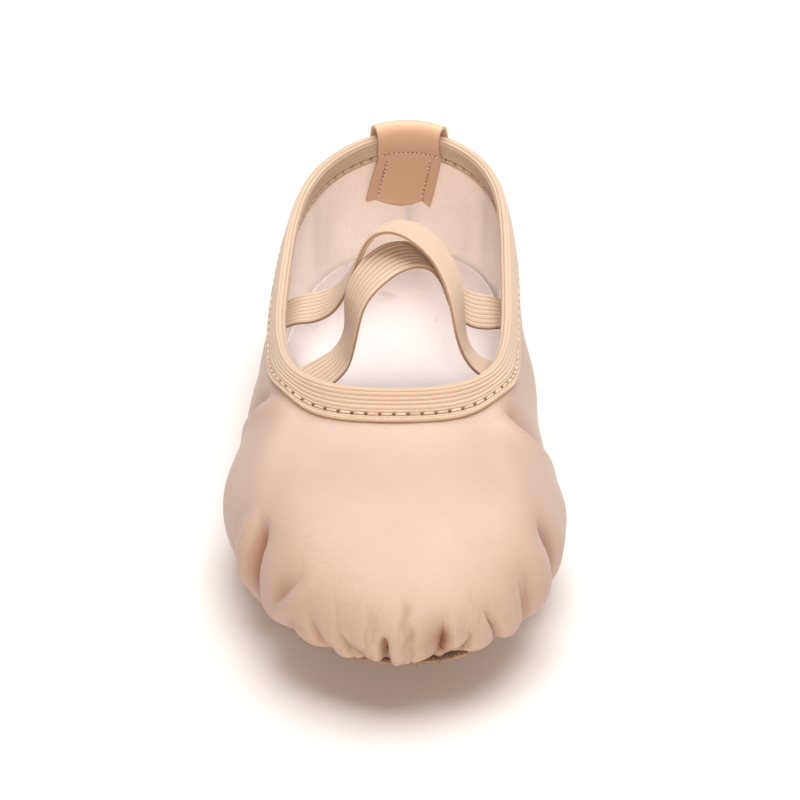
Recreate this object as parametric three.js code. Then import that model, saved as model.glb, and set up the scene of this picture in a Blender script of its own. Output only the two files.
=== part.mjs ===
import * as THREE from 'three';

// Driving dimensions in millimetres
const LENGTH = 185;
const BALL_WIDTH = 78;
const INSTEP_HEIGHT = 41;
const HEEL_HEIGHT = 50;
const SWING = 3.5;
const SWING_SHIFT = -0.7;
const WALL = 1.6;
const SEAT = 0.3;
const SOLE_THICK = 2;
const SOLE_BEVEL = 0.5;
const INSOLE_THICK = 1.5;
const INSOLE_SHARE = 0.96;
const TOE_SPRING = 6;
const ARCH_RISE = 2.5;
const HEEL_SPRING = 1;
const HEM_SHARE = 0.75;
const HEM_TURN = 5;
const NECK_DEPTH = 4.2;
const NECK_RUN = 7;
const NECK_END = 42;
const NECK_FROM = 2.2;
const NECK_TO = 4.6;
const LAP_SEAT = 0.5;
const BINDING_THICK = 1.2;
const BINDING_OUTER = 7.2;
const BINDING_INNER = 8;
const TAB_WIDTH = 21;
const TAB_THICK = 1.2;
const TAB_OUTER = 17;
const TAB_INNER = 20;
const STRAP_WIDTH = 12;
const STRAP_THICK = 1.1;
const STRAP_CLEAR = 1.7;
const STRAP_DROP = BINDING_INNER + 1;
const STRAP_LAY = 2.4;

// Sections round the shoe from toe to heel, one side.
// X columns are shares of half the ball width, Y columns are shares of half the length.
// wideZ and crownZ are shares of the rim height of the same section.
// rimRise is 0 at the instep height and 1 at the heel height.
const SECTIONS = [
  {
    at: 'toe', soleX: 0, soleY: -0.832, wideX: 0, wideY: -1, wideZ: 0.415,
    crownX: 0, crownY: -0.859, crownZ: 0.744, rimX: 0, rimY: -0.297, rimRise: 0,
  },
  {
    at: 'toe corner', soleX: 0.333, soleY: -0.789, wideX: 0.551, wideY: -0.914, wideZ: 0.415,
    crownX: 0.441, crownY: -0.778, crownZ: 0.751, rimX: 0.205, rimY: -0.292, rimRise: 0,
  },
  {
    at: 'toe side', soleX: 0.538, soleY: -0.67, wideX: 0.859, wideY: -0.714, wideZ: 0.427,
    crownX: 0.697, crownY: -0.627, crownZ: 0.768, rimX: 0.39, rimY: -0.27, rimRise: 0,
  },
  {
    at: 'ball', soleX: 0.641, soleY: -0.486, wideX: 1, wideY: -0.465, wideZ: 0.444,
    crownX: 0.81, crownY: -0.405, crownZ: 0.806, rimX: 0.551, rimY: -0.211, rimRise: -0.06,
  },
  {
    at: 'vamp', soleX: 0.615, soleY: -0.259, wideX: 0.936, wideY: -0.205, wideZ: 0.468,
    crownX: 0.8, crownY: -0.157, crownZ: 0.785, rimX: 0.656, rimY: -0.103, rimRise: -0.17,
  },
  {
    at: 'waist', soleX: 0.513, soleY: 0.022, wideX: 0.879, wideY: 0.086, wideZ: 0.487,
    crownX: 0.795, crownY: 0.108, crownZ: 0.784, rimX: 0.713, rimY: 0.108, rimRise: -0.33,
  },
  {
    at: 'quarter', soleX: 0.462, soleY: 0.346, wideX: 0.821, wideY: 0.389, wideZ: 0.468,
    crownX: 0.785, crownY: 0.389, crownZ: 0.806, rimX: 0.718, rimY: 0.389, rimRise: -0.17,
  },
  {
    at: 'heel side', soleX: 0.423, soleY: 0.627, wideX: 0.731, wideY: 0.659, wideZ: 0.437,
    crownX: 0.723, crownY: 0.659, crownZ: 0.805, rimX: 0.679, rimY: 0.659, rimRise: 0.28,
  },
  {
    at: 'heel corner', soleX: 0.282, soleY: 0.8, wideX: 0.508, wideY: 0.886, wideZ: 0.41,
    crownX: 0.508, crownY: 0.886, crownZ: 0.79, rimX: 0.474, rimY: 0.865, rimRise: 0.72,
  },
  {
    at: 'heel', soleX: 0, soleY: 0.854, wideX: 0, wideY: 1, wideZ: 0.4,
    crownX: 0, crownY: 0.995, crownZ: 0.79, rimX: 0, rimY: 0.962, rimRise: 1,
  },
];

// Folds of the soft upper.
// at: place round the shoe in sections from the toe, to the right positive.
// lean: drift of that place per full height. depth: inward positive. width: half width.
// foot and top: share of the height from hem to rim where the fold starts and ends.
const FOLDS = [
  { at: -2.45, lean: 0, depth: 1.0, width: 3.4, foot: 0.24, top: 0.69 },
  { at: -1.75, lean: -0.8, depth: 2.4, width: 3.4, foot: 0.24, top: 0.83 },
  { at: -1.48, lean: 3, depth: 1.3, width: 3.0, foot: 0.46, top: 0.82 },
  { at: -1.15, lean: 0, depth: 1.2, width: 2.8, foot: 0.24, top: 0.64 },
  { at: -0.8, lean: -3.8, depth: 1.5, width: 2.4, foot: 0.24, top: 0.69 },
  { at: -0.55, lean: -4.6, depth: 1.5, width: 2.6, foot: 0.24, top: 0.69 },
  { at: -0.19, lean: -0.4, depth: 1.9, width: 2.0, foot: 0.24, top: 0.68 },
  { at: 0.01, lean: 0, depth: 0.7, width: 2.8, foot: 0.4, top: 0.86 },
  { at: 0.31, lean: 0.8, depth: 2.2, width: 2.6, foot: 0.24, top: 0.75 },
  { at: 0.65, lean: 5, depth: 1.5, width: 2.3, foot: 0.24, top: 0.66 },
  { at: 0.89, lean: -0.9, depth: 1.6, width: 2.6, foot: 0.24, top: 0.79 },
  { at: 1.28, lean: 0.5, depth: 1.9, width: 3.0, foot: 0.24, top: 0.81 },
  { at: 1.73, lean: 2, depth: 1.9, width: 3.6, foot: 0.24, top: 0.84 },
  { at: 2.5, lean: 0, depth: 1.0, width: 3.4, foot: 0.24, top: 0.69 },
  { at: -4.4, lean: 2.4, depth: -1.1, width: 6, foot: 0.58, top: 0.95 },
  { at: -4.85, lean: 2.4, depth: 1.1, width: 6, foot: 0.54, top: 0.93 },
  { at: 3.8, lean: -2.2, depth: -1.1, width: 6, foot: 0.58, top: 0.95 },
  { at: 4.25, lean: -2.2, depth: 1.3, width: 6, foot: 0.54, top: 0.93 },
];
const FOLD_RISE = 0.24;
const FOLD_FADE = 0.17;

// Straps from front to back.
// front and back: places round the shoe where the ends lie on the inner wall under the binding.
// x, y, z: middle of the band. wx, wz: side and upward parts of its unit width direction.
const STRAP_UNDER = {
  front: -4.62,
  back: 5.79,
  stations: [
    { x: -26.6, y: 0.6, z: 25.6, wx: -0.36, wz: 0.08 },
    { x: -22.2, y: 2.4, z: 25.2, wx: -0.5, wz: 0.02 },
    { x: -17.8, y: 4.8, z: 26.8, wx: -0.55, wz: -0.06 },
    { x: -13.6, y: 7.7, z: 29.4, wx: -0.37, wz: -0.21 },
    { x: -11.0, y: 10.6, z: 35.0, wx: -0.25, wz: -0.35 },
    { x: -9.9, y: 13.5, z: 41.6, wx: -0.43, wz: -0.32 },
    { x: -6.6, y: 16.7, z: 46.5, wx: -0.54, wz: -0.08 },
    { x: -0.1, y: 21.9, z: 49.4, wx: -0.43, wz: 0.11 },
    { x: 6.6, y: 24.7, z: 47.8, wx: -0.26, wz: 0.04 },
    { x: 11.4, y: 26.0, z: 42.0, wx: -0.07, wz: 0.06 },
    { x: 14.4, y: 27.1, z: 35.4, wx: 0.02, wz: 0.22 },
    { x: 18.4, y: 28.4, z: 31.2, wx: -0.02, wz: 0.31 },
    { x: 22.6, y: 29.6, z: 29.7, wx: -0.06, wz: 0.28 },
    { x: 26.4, y: 30.4, z: 28.6, wx: -0.06, wz: 0.14 },
  ],
};
const STRAP_OVER = {
  front: 4.7,
  back: -5.81,
  stations: [
    { x: 26.7, y: 2.2, z: 26.9, wx: 0.06, wz: -0.1 },
    { x: 22.4, y: 3.0, z: 28.6, wx: 0.2, wz: -0.24 },
    { x: 18.6, y: 4.4, z: 30.9, wx: 0.16, wz: -0.32 },
    { x: 15.9, y: 6.8, z: 35.6, wx: 0.16, wz: -0.4 },
    { x: 14.7, y: 10.6, z: 42.4, wx: 0.27, wz: -0.48 },
    { x: 12.4, y: 16.2, z: 48.8, wx: 0.43, wz: -0.5 },
    { x: 7.8, y: 21.6, z: 53.2, wx: 0.47, wz: -0.36 },
    { x: 2.2, y: 25.6, z: 55.2, wx: 0.42, wz: -0.25 },
    { x: -3.2, y: 27.5, z: 54.1, wx: 0.3, wz: -0.22 },
    { x: -7.3, y: 28.5, z: 49.5, wx: 0.18, wz: -0.15 },
    { x: -9.9, y: 29.0, z: 43.2, wx: 0.15, wz: -0.02 },
    { x: -12.6, y: 29.1, z: 37.4, wx: 0.14, wz: 0.1 },
    { x: -16.4, y: 29.7, z: 32.5, wx: 0.11, wz: 0.15 },
    { x: -21.2, y: 30.8, z: 30.0, wx: 0.06, wz: 0.16 },
    { x: -25.6, y: 31.1, z: 28.8, wx: 0.04, wz: 0.1 },
  ],
};

const HALF_TURN = SECTIONS.length - 1;
const FULL_TURN = 2 * HALF_TURN;
const HEM_HEIGHT = SOLE_THICK + SEAT;

const clamp = (value, low, high) => Math.min(high, Math.max(low, value));

function ease(low, high, value) {
  const share = clamp((value - low) / (high - low), 0, 1);
  return share * share * (3 - 2 * share);
}

// Rise of the sole line: flat forefoot and heel, low arch, sprung toe and heel tip
function soleLift(y) {
  const toe = TOE_SPRING * clamp((-46 - y) / 34, 0, 1) ** 2;
  const arch = Math.abs(y - 12) < 32 ? ARCH_RISE * (0.5 + 0.5 * Math.cos(Math.PI * (y - 12) / 32)) : 0;
  const heel = HEEL_SPRING * clamp((y - 60) / 20, 0, 1) ** 2;
  return toe + arch + heel;
}

// Points that the skin passes through, hem to rim, for one section on one side
function sectionPoints(row, side) {
  const halfWidth = BALL_WIDTH / 2;
  const halfLength = LENGTH / 2;
  const rimZ = INSTEP_HEIGHT + (HEEL_HEIGHT - INSTEP_HEIGHT) * row.rimRise;
  const place = (x, y, z) => {
    const along = y * halfLength;
    const swing = SWING * (along / 92) ** 2 + SWING_SHIFT;
    return new THREE.Vector3(side * x * halfWidth + swing, along, z);
  };
  const turn = Math.abs(row.soleY) > 0.65 ? Math.sign(row.soleY) * HEM_TURN / halfLength : 0;
  const wideZ = row.wideZ * rimZ;
  const underX = row.soleX + 0.62 * (row.wideX - row.soleX);
  const underY = row.soleY + 0.62 * (row.wideY - row.soleY);
  return [
    place(HEM_SHARE * row.soleX, row.soleY - turn, HEM_HEIGHT),
    place(row.soleX, row.soleY, HEM_HEIGHT),
    place(underX, underY, HEM_HEIGHT + 0.18 * (wideZ - HEM_HEIGHT)),
    place(row.wideX, row.wideY, wideZ),
    place(row.crownX, row.crownY, row.crownZ * rimZ),
    place(row.rimX, row.rimY, rimZ),
  ];
}

// Spline net whose smooth surface passes through all section points
function splineNet() {
  const goal = [];
  for (let k = 0; k < FULL_TURN; k += 1) {
    const row = SECTIONS[k <= HALF_TURN ? k : FULL_TURN - k];
    goal.push(sectionPoints(row, k <= HALF_TURN ? 1 : -1));
  }
  const columns = goal[0].length;
  const relax = (aim, neighbours) => {
    let net = aim.map((row) => row.map((point) => point.clone()));
    for (let pass = 0; pass < 40; pass += 1) {
      net = net.map((row, k) => row.map((point, j) => {
        const pair = neighbours(net, k, j);
        if (!pair) {
          return aim[k][j].clone();
        }
        const blend = point.clone().multiplyScalar(4).add(pair[0]).add(pair[1]).divideScalar(6);
        return point.clone().add(aim[k][j]).sub(blend);
      }));
    }
    return net;
  };
  const round = relax(goal, (net, k, j) => [
    net[(k + FULL_TURN - 1) % FULL_TURN][j],
    net[(k + 1) % FULL_TURN][j],
  ]);
  const full = relax(round, (net, k, j) => (
    j === 0 || j === columns - 1 ? null : [net[k][j - 1], net[k][j + 1]]
  ));
  return full.map((row) => {
    const first = row[0].clone().multiplyScalar(2).sub(row[1]);
    const last = row[columns - 1].clone().multiplyScalar(2).sub(row[columns - 2]);
    return [first, ...row, last];
  });
}

const NET = splineNet();
const SPANS = NET[0].length - 3;

const splineWeights = (f) => [
  (1 - f) ** 3 / 6,
  (3 * f ** 3 - 6 * f ** 2 + 4) / 6,
  (-3 * f ** 3 + 3 * f ** 2 + 3 * f + 1) / 6,
  f ** 3 / 6,
];

// Smooth skin through the sections: turn in sections from the toe, height 0 at the hem and 1 at the rim
function basePoint(turn, height) {
  const wrapped = ((turn % FULL_TURN) + FULL_TURN) % FULL_TURN;
  const k = Math.floor(wrapped);
  const j = clamp(Math.floor(height * SPANS), 0, SPANS - 1);
  const across = splineWeights(wrapped - k);
  const upward = splineWeights(height * SPANS - j);
  const point = new THREE.Vector3();
  for (let a = 0; a < 4; a += 1) {
    const row = NET[(k + a - 1 + FULL_TURN) % FULL_TURN];
    for (let b = 0; b < 4; b += 1) {
      point.addScaledVector(row[j + b], across[a] * upward[b]);
    }
  }
  point.z += soleLift(point.y) * (1 - ease(4, 15, point.z));
  return point;
}

// Depth by which the skin lies lower before the throat, so that the rim stands up as a collar
function neckSink(turn, distance) {
  const side = Math.abs(turn - FULL_TURN * Math.round(turn / FULL_TURN));
  const near = 1 - (1 - clamp(distance / NECK_RUN, 0, 1)) ** 2;
  const far = 1 - ease(NECK_RUN, NECK_END, distance);
  return NECK_DEPTH * near * far * (1 - ease(NECK_FROM, NECK_TO, side));
}

// Smooth skin of the last with its collar
function lastPoint(turn, height) {
  const point = basePoint(turn, height);
  point.z -= neckSink(turn, point.distanceTo(basePoint(turn, 1)));
  return point;
}

// Outward normal of the smooth skin and its length per section round the shoe
function lastFrame(turn, height) {
  const step = 0.01;
  const low = Math.max(0, height - step);
  const high = Math.min(1, height + step);
  const round = lastPoint(turn + step, height).sub(lastPoint(turn - step, height));
  const upward = lastPoint(turn, high).sub(lastPoint(turn, low));
  const stretch = round.length() / (2 * step);
  return { normal: round.cross(upward).normalize(), stretch };
}

// Inward depth of all folds at one place
function foldDepth(turn, height, stretch) {
  let depth = 0;
  for (const fold of FOLDS) {
    const drift = fold.lean * (clamp(height, 0.56, 0.95) - 0.6);
    let gap = turn - fold.at - drift;
    gap -= FULL_TURN * Math.round(gap / FULL_TURN);
    const x = gap * stretch / fold.width;
    if (Math.abs(x) < 5) {
      const rise = ease(fold.foot, fold.foot + FOLD_RISE, height);
      const fade = 1 - ease(fold.top - FOLD_FADE, fold.top, height);
      const ridges = Math.exp(-((x - 1.9) ** 2)) + Math.exp(-((x + 1.9) ** 2));
      depth += fold.depth * rise * fade * (Math.exp(-x * x) - 0.35 * ridges);
    }
  }
  return depth;
}

// Point of the folded skin, moved outward by the offset
function skin(turn, height, offset) {
  const { normal, stretch } = lastFrame(turn, height);
  return lastPoint(turn, height).addScaledVector(normal, offset - foldDepth(turn, height, stretch));
}

// Height share at a distance down from the rim
function heightBelowRim(turn, distance) {
  let height = 1;
  let walked = 0;
  let here = lastPoint(turn, 1);
  const step = 0.005;
  while (walked < distance && height > 0.4) {
    const next = lastPoint(turn, height - step);
    walked += next.distanceTo(here);
    here = next;
    height -= step;
  }
  return height + step * Math.max(0, walked - distance) / lastPoint(turn, height + step).distanceTo(here);
}

// Point beside the rim: drop below the rim along the skin, or above it when negative
function besideRim(turn, drop, offset) {
  if (drop >= 0) {
    return skin(turn, heightBelowRim(turn, drop), offset);
  }
  const upward = skin(turn, 1, offset).sub(skin(turn, 0.96, offset)).normalize();
  return skin(turn, 1, offset).addScaledVector(upward, -drop);
}

// Closed solid through loops of points.
// The first half of each loop is one face, the second half is the other face read backward.
function loft(loops, ring) {
  const count = loops[0].length;
  const half = count / 2;
  const positions = loops.flat().flatMap((p) => [p.x, p.y, p.z]);
  const index = [];
  const spans = ring ? loops.length : loops.length - 1;
  for (let k = 0; k < spans; k += 1) {
    const a = k * count;
    const b = ((k + 1) % loops.length) * count;
    for (let j = 0; j < count; j += 1) {
      const n = (j + 1) % count;
      index.push(a + j, b + j, b + n, a + j, b + n, a + n);
    }
  }
  if (!ring) {
    const end = (loops.length - 1) * count;
    for (let j = 0; j < half - 1; j += 1) {
      const m = count - 1 - j;
      index.push(j, j + 1, m - 1, j, m - 1, m);
      index.push(end + j, end + m - 1, end + j + 1, end + j, end + m, end + m - 1);
    }
  }
  let volume = 0;
  const corner = (i) => new THREE.Vector3().fromArray(positions, 3 * i);
  for (let f = 0; f < index.length; f += 3) {
    volume += corner(index[f]).dot(corner(index[f + 1]).cross(corner(index[f + 2])));
  }
  if (volume < 0) {
    index.reverse();
  }
  const geometry = new THREE.BufferGeometry();
  geometry.setAttribute('position', new THREE.Float32BufferAttribute(positions, 3));
  geometry.setIndex(index);
  geometry.computeVertexNormals();
  return geometry;
}

const shoe = new THREE.Group();
shoe.name = 'ballet_shoe';

function add(name, geometry, color, roughness) {
  const material = new THREE.MeshStandardMaterial({ color, roughness, metalness: 0 });
  material.name = name;
  const mesh = new THREE.Mesh(geometry, material);
  mesh.name = name;
  shoe.add(mesh);
}

const spread = (from, to, count) => (
  Array.from({ length: count }, (_, k) => from + (to - from) * k / (count - 1))
);

// Upper: folded skin outside, the same skin one wall further in
const TOE_SPAN = 3;
const toeTurns = spread(-TOE_SPAN, TOE_SPAN, 58);
const backTurns = spread(TOE_SPAN, FULL_TURN - TOE_SPAN, 43).slice(1, -1);
const upperHeights = [
  0, 0.1, 0.2, 0.29, 0.38, 0.46, 0.53, 0.59, 0.65, 0.72, 0.8, 0.88, 0.94, 0.973, 0.986, 1,
];
const upperLoops = [...toeTurns, ...backTurns].map((turn) => [
  ...upperHeights.map((height) => skin(turn, height, 0)),
  ...[...upperHeights].reverse().map((height) => skin(turn, height, -WALL)),
]);
add('upper', loft(upperLoops, true), 0xecccb8, 0.55);

// Sole plate: rungs between the left and right edge of the sole line
function plate(share, bottom, thick, bevel) {
  const ends = [0.1, 0.25, 0.45, 0.7, 1];
  const middles = spread(1, HALF_TURN - 1, 31).slice(1, -1);
  const turns = [...ends, ...middles, ...ends.map((end) => HALF_TURN - end).reverse()];
  return loft(turns.map((turn) => {
    const right = lastPoint(turn, 1 / SPANS);
    const left = lastPoint(-turn, 1 / SPANS);
    const middle = right.clone().add(left).multiplyScalar(0.5);
    const along = middle.y * share;
    const edge = (side, up, inset) => {
      const reach = (right.x - left.x) / 2 * share - inset;
      return new THREE.Vector3(middle.x + side * reach, along, soleLift(along) + up);
    };
    return [
      edge(-1, bottom, bevel),
      edge(1, bottom, bevel),
      edge(1, bottom + thick, 0),
      edge(-1, bottom + thick, 0),
    ];
  }), false);
}

add('outsole', plate(1, 0, SOLE_THICK, SOLE_BEVEL), 0xb79a86, 0.95);
add('insole', plate(INSOLE_SHARE, HEM_HEIGHT + WALL + SEAT, INSOLE_THICK, 0), 0xf3e9e4, 0.8);

// Collar binding: band folded over the rim, inner and outer leaf
const innerFace = WALL + LAP_SEAT;
const leaf = (length, offset) => spread(length, 0, 5).map((drop) => ({ drop, offset }));
const bindingTop = -LAP_SEAT - 0.8 * BINDING_THICK;
const bindingProfile = [
  ...leaf(BINDING_OUTER, LAP_SEAT + BINDING_THICK),
  { drop: bindingTop, offset: LAP_SEAT },
  { drop: bindingTop, offset: -innerFace },
  ...leaf(BINDING_INNER, -innerFace - BINDING_THICK).reverse(),
  ...leaf(BINDING_INNER, -innerFace),
  { drop: -LAP_SEAT, offset: -WALL * 0.8 },
  { drop: -LAP_SEAT, offset: -WALL * 0.2 },
  ...leaf(BINDING_OUTER, LAP_SEAT).reverse(),
];
const bindingTurns = [...toeTurns.filter((_, k) => k % 3 === 0), ...backTurns];
const bindingLoops = bindingTurns.map((turn) => (
  bindingProfile.map(({ drop, offset }) => besideRim(turn, drop, offset))
));
add('collar_binding', loft(bindingLoops, true), 0xeccbac, 0.75);

// Heel tab: strip folded over the binding at the heel, lying on the wall below the binding leaves
const tabLift = LAP_SEAT + BINDING_THICK + SEAT;
const tabRow = (length, lap, side, thick) => {
  const step = lap + 1;
  return [length, step + 0.6 * (length - step), step, 0.5 * lap, 0].map((drop) => {
    const clear = drop > step ? LAP_SEAT : tabLift;
    return { drop, offset: side > 0 ? clear + thick : -WALL - clear - thick };
  });
};
const tabOver = (thick) => [
  { drop: -tabLift - 0.75 * thick, offset: LAP_SEAT + 0.6 * thick },
  { drop: -tabLift - 0.75 * thick, offset: -WALL - LAP_SEAT - 0.6 * thick },
];
const tabFace = (thick, shorten) => [
  ...tabRow(TAB_OUTER - shorten, BINDING_OUTER, 1, thick),
  ...tabOver(thick),
  ...tabRow(TAB_INNER - shorten, BINDING_INNER, -1, thick).reverse(),
];
const heelStretch = lastFrame(HALF_TURN, 0.95).stretch;
const tabLoops = spread(-1, 1, 9).map((across) => {
  const turn = HALF_TURN + across * TAB_WIDTH / 2 / heelStretch;
  const shorten = 3 * across ** 4;
  const place = ({ drop, offset }) => besideRim(turn, drop, offset);
  return [
    ...tabFace(TAB_THICK, shorten).map(place),
    ...tabFace(0, shorten).reverse().map(place),
  ];
});
add('heel_tab', loft(tabLoops, false), 0xd6a988, 0.6);

// Strap end: station on the inner wall, a drop below the rim
function wallStation(turn, drop) {
  const height = heightBelowRim(turn, drop);
  const { x, y, z } = skin(turn, height, -WALL - STRAP_CLEAR);
  const round = lastPoint(turn + 0.1, height).sub(lastPoint(turn - 0.1, height)).normalize();
  const wide = round.multiplyScalar(Math.sign(round.y));
  return { x, y, z, wx: wide.x, wz: wide.z };
}

// Strap: band swept along its stations
function strap({ front, back, stations }) {
  const all = [
    wallStation(front, STRAP_DROP),
    wallStation(front, STRAP_DROP + STRAP_LAY),
    ...stations,
    wallStation(back, STRAP_DROP + STRAP_LAY),
    wallStation(back, STRAP_DROP),
  ];
  const path = new THREE.CatmullRomCurve3(all.map(({ x, y, z }) => new THREE.Vector3(x, y, z)));
  const widths = new THREE.CatmullRomCurve3(all.map(({ wx, wz }) => (
    new THREE.Vector3(wx, Math.sqrt(1 - wx * wx - wz * wz), wz)
  )));
  const loops = spread(0, 1, 47).map((share) => {
    const middle = path.getPoint(share);
    const along = path.getTangent(share);
    const wide = widths.getPoint(share);
    wide.addScaledVector(along, -wide.dot(along)).normalize();
    const thick = along.clone().cross(wide);
    const face = (side) => spread(-side / 2, side / 2, 3).map((across) => (
      middle.clone()
        .addScaledVector(wide, across * STRAP_WIDTH)
        .addScaledVector(thick, side * STRAP_THICK / 2)
    ));
    return [...face(1), ...face(-1)];
  });
  return loft(loops, false);
}

add('strap_under', strap(STRAP_UNDER), 0xeccfb4, 0.75);
add('strap_over', strap(STRAP_OVER), 0xeccfb4, 0.75);

// Middle of the whole shoe over the origin, lowest point on the floor
const box = new THREE.Box3().setFromObject(shoe);
const centre = box.getCenter(new THREE.Vector3());
shoe.children.forEach((mesh) => mesh.geometry.translate(-centre.x, -centre.y, -box.min.z));

export default shoe;
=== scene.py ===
"""Soft ballet slipper: gathered leather upper, ribbed elastic binding and straps, suede sole."""

import logging
import math
from dataclasses import dataclass
from enum import Enum
from functools import cached_property
from typing import Iterable, Sequence

import bpy
import numpy as np
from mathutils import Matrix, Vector


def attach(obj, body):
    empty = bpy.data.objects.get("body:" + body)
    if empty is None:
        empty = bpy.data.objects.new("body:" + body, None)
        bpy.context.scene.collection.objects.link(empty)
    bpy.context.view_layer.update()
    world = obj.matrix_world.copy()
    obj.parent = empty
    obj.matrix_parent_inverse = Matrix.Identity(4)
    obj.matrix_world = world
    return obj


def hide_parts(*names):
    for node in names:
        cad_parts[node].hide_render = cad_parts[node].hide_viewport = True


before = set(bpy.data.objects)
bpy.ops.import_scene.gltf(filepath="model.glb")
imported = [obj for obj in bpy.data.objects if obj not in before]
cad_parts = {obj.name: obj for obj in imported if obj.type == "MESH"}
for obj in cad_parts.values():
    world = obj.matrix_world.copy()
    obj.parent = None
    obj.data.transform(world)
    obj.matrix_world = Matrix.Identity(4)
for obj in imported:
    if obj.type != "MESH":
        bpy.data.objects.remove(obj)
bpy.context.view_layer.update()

LOG = logging.getLogger("ballet_shoe")
MM = 0.001
BODY = "root"
# Distance in metres within which edges that meet are joined
MERGE = 2e-6
# Middle of the solids before the source puts it over the origin, in millimetres
CENTRE = np.array((0.061, 0.991, 0.0))
Colour = tuple[float, float, float]
Place = tuple[float, float, float]
BLACK: Colour = (0.0, 0.0, 0.0)
WHITE: Colour = (1.0, 1.0, 1.0)


def ease(low: float, high: float, value: np.ndarray) -> np.ndarray:
    """Smooth step from 0 at low to 1 at high.

    Args:
        low: Value where the step starts.
        high: Value where the step ends.
        value: Places to read the step at.

    Returns:
        The step at each place.
    """
    share = np.clip((np.asarray(value) - low) / (high - low), 0.0, 1.0)
    return share * share * (3.0 - 2.0 * share)


def unit(vectors: np.ndarray) -> np.ndarray:
    """Vectors scaled to length 1."""
    return vectors / np.maximum(np.linalg.norm(vectors, axis=-1, keepdims=True), 1e-12)


def even_places(places: np.ndarray, line: np.ndarray, count: int) -> np.ndarray:
    """Places that are evenly spaced along a line.

    Args:
        places: Places round the shoe, close together.
        line: Points of the line at those places.
        count: Number of steps.

    Returns:
        One place for each end of a step.
    """
    steps = np.linalg.norm(np.diff(line, axis=0), axis=-1)
    walked = np.concatenate(([0.0], np.cumsum(steps)))
    return np.interp(np.linspace(0.0, walked[-1], count + 1), walked, places)


def read_rows(rows: Sequence[tuple[float, float]], place: np.ndarray) -> np.ndarray:
    """Numbers of a short table at given places, straight between its rows."""
    return np.interp(place, [first for first, _ in rows], [second for _, second in rows])


@dataclass(frozen=True)
class Section:
    """Shares of one section, toe to heel: side and length of each line, then its height."""

    sole: tuple[float, float]
    wide: tuple[float, float, float]
    crown: tuple[float, float, float]
    rim: tuple[float, float, float]


@dataclass(frozen=True)
class Pleat:
    """A valley between two gathered lobes of the toe.

    Attributes:
        low: Place round the shoe at the gathering line, in sections from the toe, to the right positive.
        high: Place round the shoe where the valley runs out.
        reach: Height share of that upper place.
        depth: Depth of the valley in millimetres.
        top: Height share where the valley is gone.
        fade: Height share over which it goes.
        lip: How far the lobe on the toe's side hangs over the valley, in millimetres.
    """

    low: float
    high: float
    reach: float
    depth: float
    top: float = 0.7
    fade: float = 0.13
    lip: float = 0.8


@dataclass(frozen=True)
class Crease:
    """A trough in the leather, with a ridge beside it where it has one.

    Attributes:
        start: Place round the shoe and height share of its lower end.
        end: Place round the shoe and height share of its upper end.
        depth: Depth in millimetres.
        left: Run of its left side in millimetres.
        right: Run of its right side in millimetres.
        ridge: Height of the ridge in millimetres.
        ridge_at: Place of the ridge beside the trough in millimetres, to the right positive.
        ridge_wide: Half width of the ridge in millimetres.
        fade: Height share over which both ends run out.
        wave: Wander of the trough in millimetres.
    """

    start: tuple[float, float]
    end: tuple[float, float]
    depth: float
    left: float = 0.7
    right: float = 0.7
    ridge: float = 0.0
    ridge_at: float = 2.0
    ridge_wide: float = 2.0
    fade: float = 0.05
    wave: float = 0.0


SECTIONS = (
    Section((0.0, -0.832), (0.0, -1.0, 0.415), (0.0, -0.859, 0.744), (0.0, -0.297, 0.0)),
    Section((0.333, -0.789), (0.551, -0.914, 0.415), (0.441, -0.778, 0.751), (0.205, -0.292, 0.0)),
    Section((0.538, -0.67), (0.859, -0.714, 0.427), (0.697, -0.627, 0.768), (0.39, -0.27, 0.0)),
    Section((0.641, -0.486), (1.0, -0.465, 0.444), (0.81, -0.405, 0.806), (0.551, -0.211, -0.06)),
    Section((0.615, -0.259), (0.936, -0.205, 0.468), (0.8, -0.157, 0.785), (0.656, -0.103, -0.17)),
    Section((0.513, 0.022), (0.879, 0.086, 0.487), (0.795, 0.108, 0.784), (0.713, 0.108, -0.33)),
    Section((0.462, 0.346), (0.821, 0.389, 0.468), (0.785, 0.389, 0.806), (0.718, 0.389, -0.17)),
    Section((0.423, 0.627), (0.731, 0.659, 0.437), (0.723, 0.659, 0.805), (0.679, 0.659, 0.28)),
    Section((0.282, 0.8), (0.508, 0.886, 0.41), (0.508, 0.886, 0.79), (0.474, 0.865, 0.72)),
    Section((0.0, 0.854), (0.0, 1.0, 0.4), (0.0, 0.995, 0.79), (0.0, 0.962, 1.0)),
)

PLEATS = (
    Pleat(-2.5, -2.62, 0.66, 1.6, top=0.68, fade=0.18, lip=0.3),
    Pleat(-1.84, -1.94, 0.74, 4.4, top=0.775, fade=0.09, lip=1.7),
    Pleat(-1.15, -1.2, 0.62, 1.5, top=0.64, fade=0.1, lip=0.6),
    Pleat(-0.68, -0.95, 0.64, 2.4, top=0.67, fade=0.09, lip=1.0),
    Pleat(-0.37, -0.6, 0.61, 2.4, top=0.65, fade=0.09, lip=1.0),
    Pleat(0.27, 0.38, 0.69, 3.4, top=0.71, fade=0.09, lip=1.3),
    Pleat(0.42, 0.62, 0.6, 2.2, top=0.65, fade=0.08, lip=0.8),
    Pleat(0.91, 0.78, 0.71, 2.2, top=0.72, fade=0.14, lip=0.9),
    Pleat(1.34, 1.38, 0.72, 2.5, top=0.74, fade=0.15, lip=1.0),
    Pleat(2.12, 2.1, 0.75, 4.6, top=0.775, fade=0.11, lip=1.5),
    Pleat(2.8, 2.95, 0.66, 1.2, top=0.68, fade=0.18, lip=0.3),
)
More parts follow.
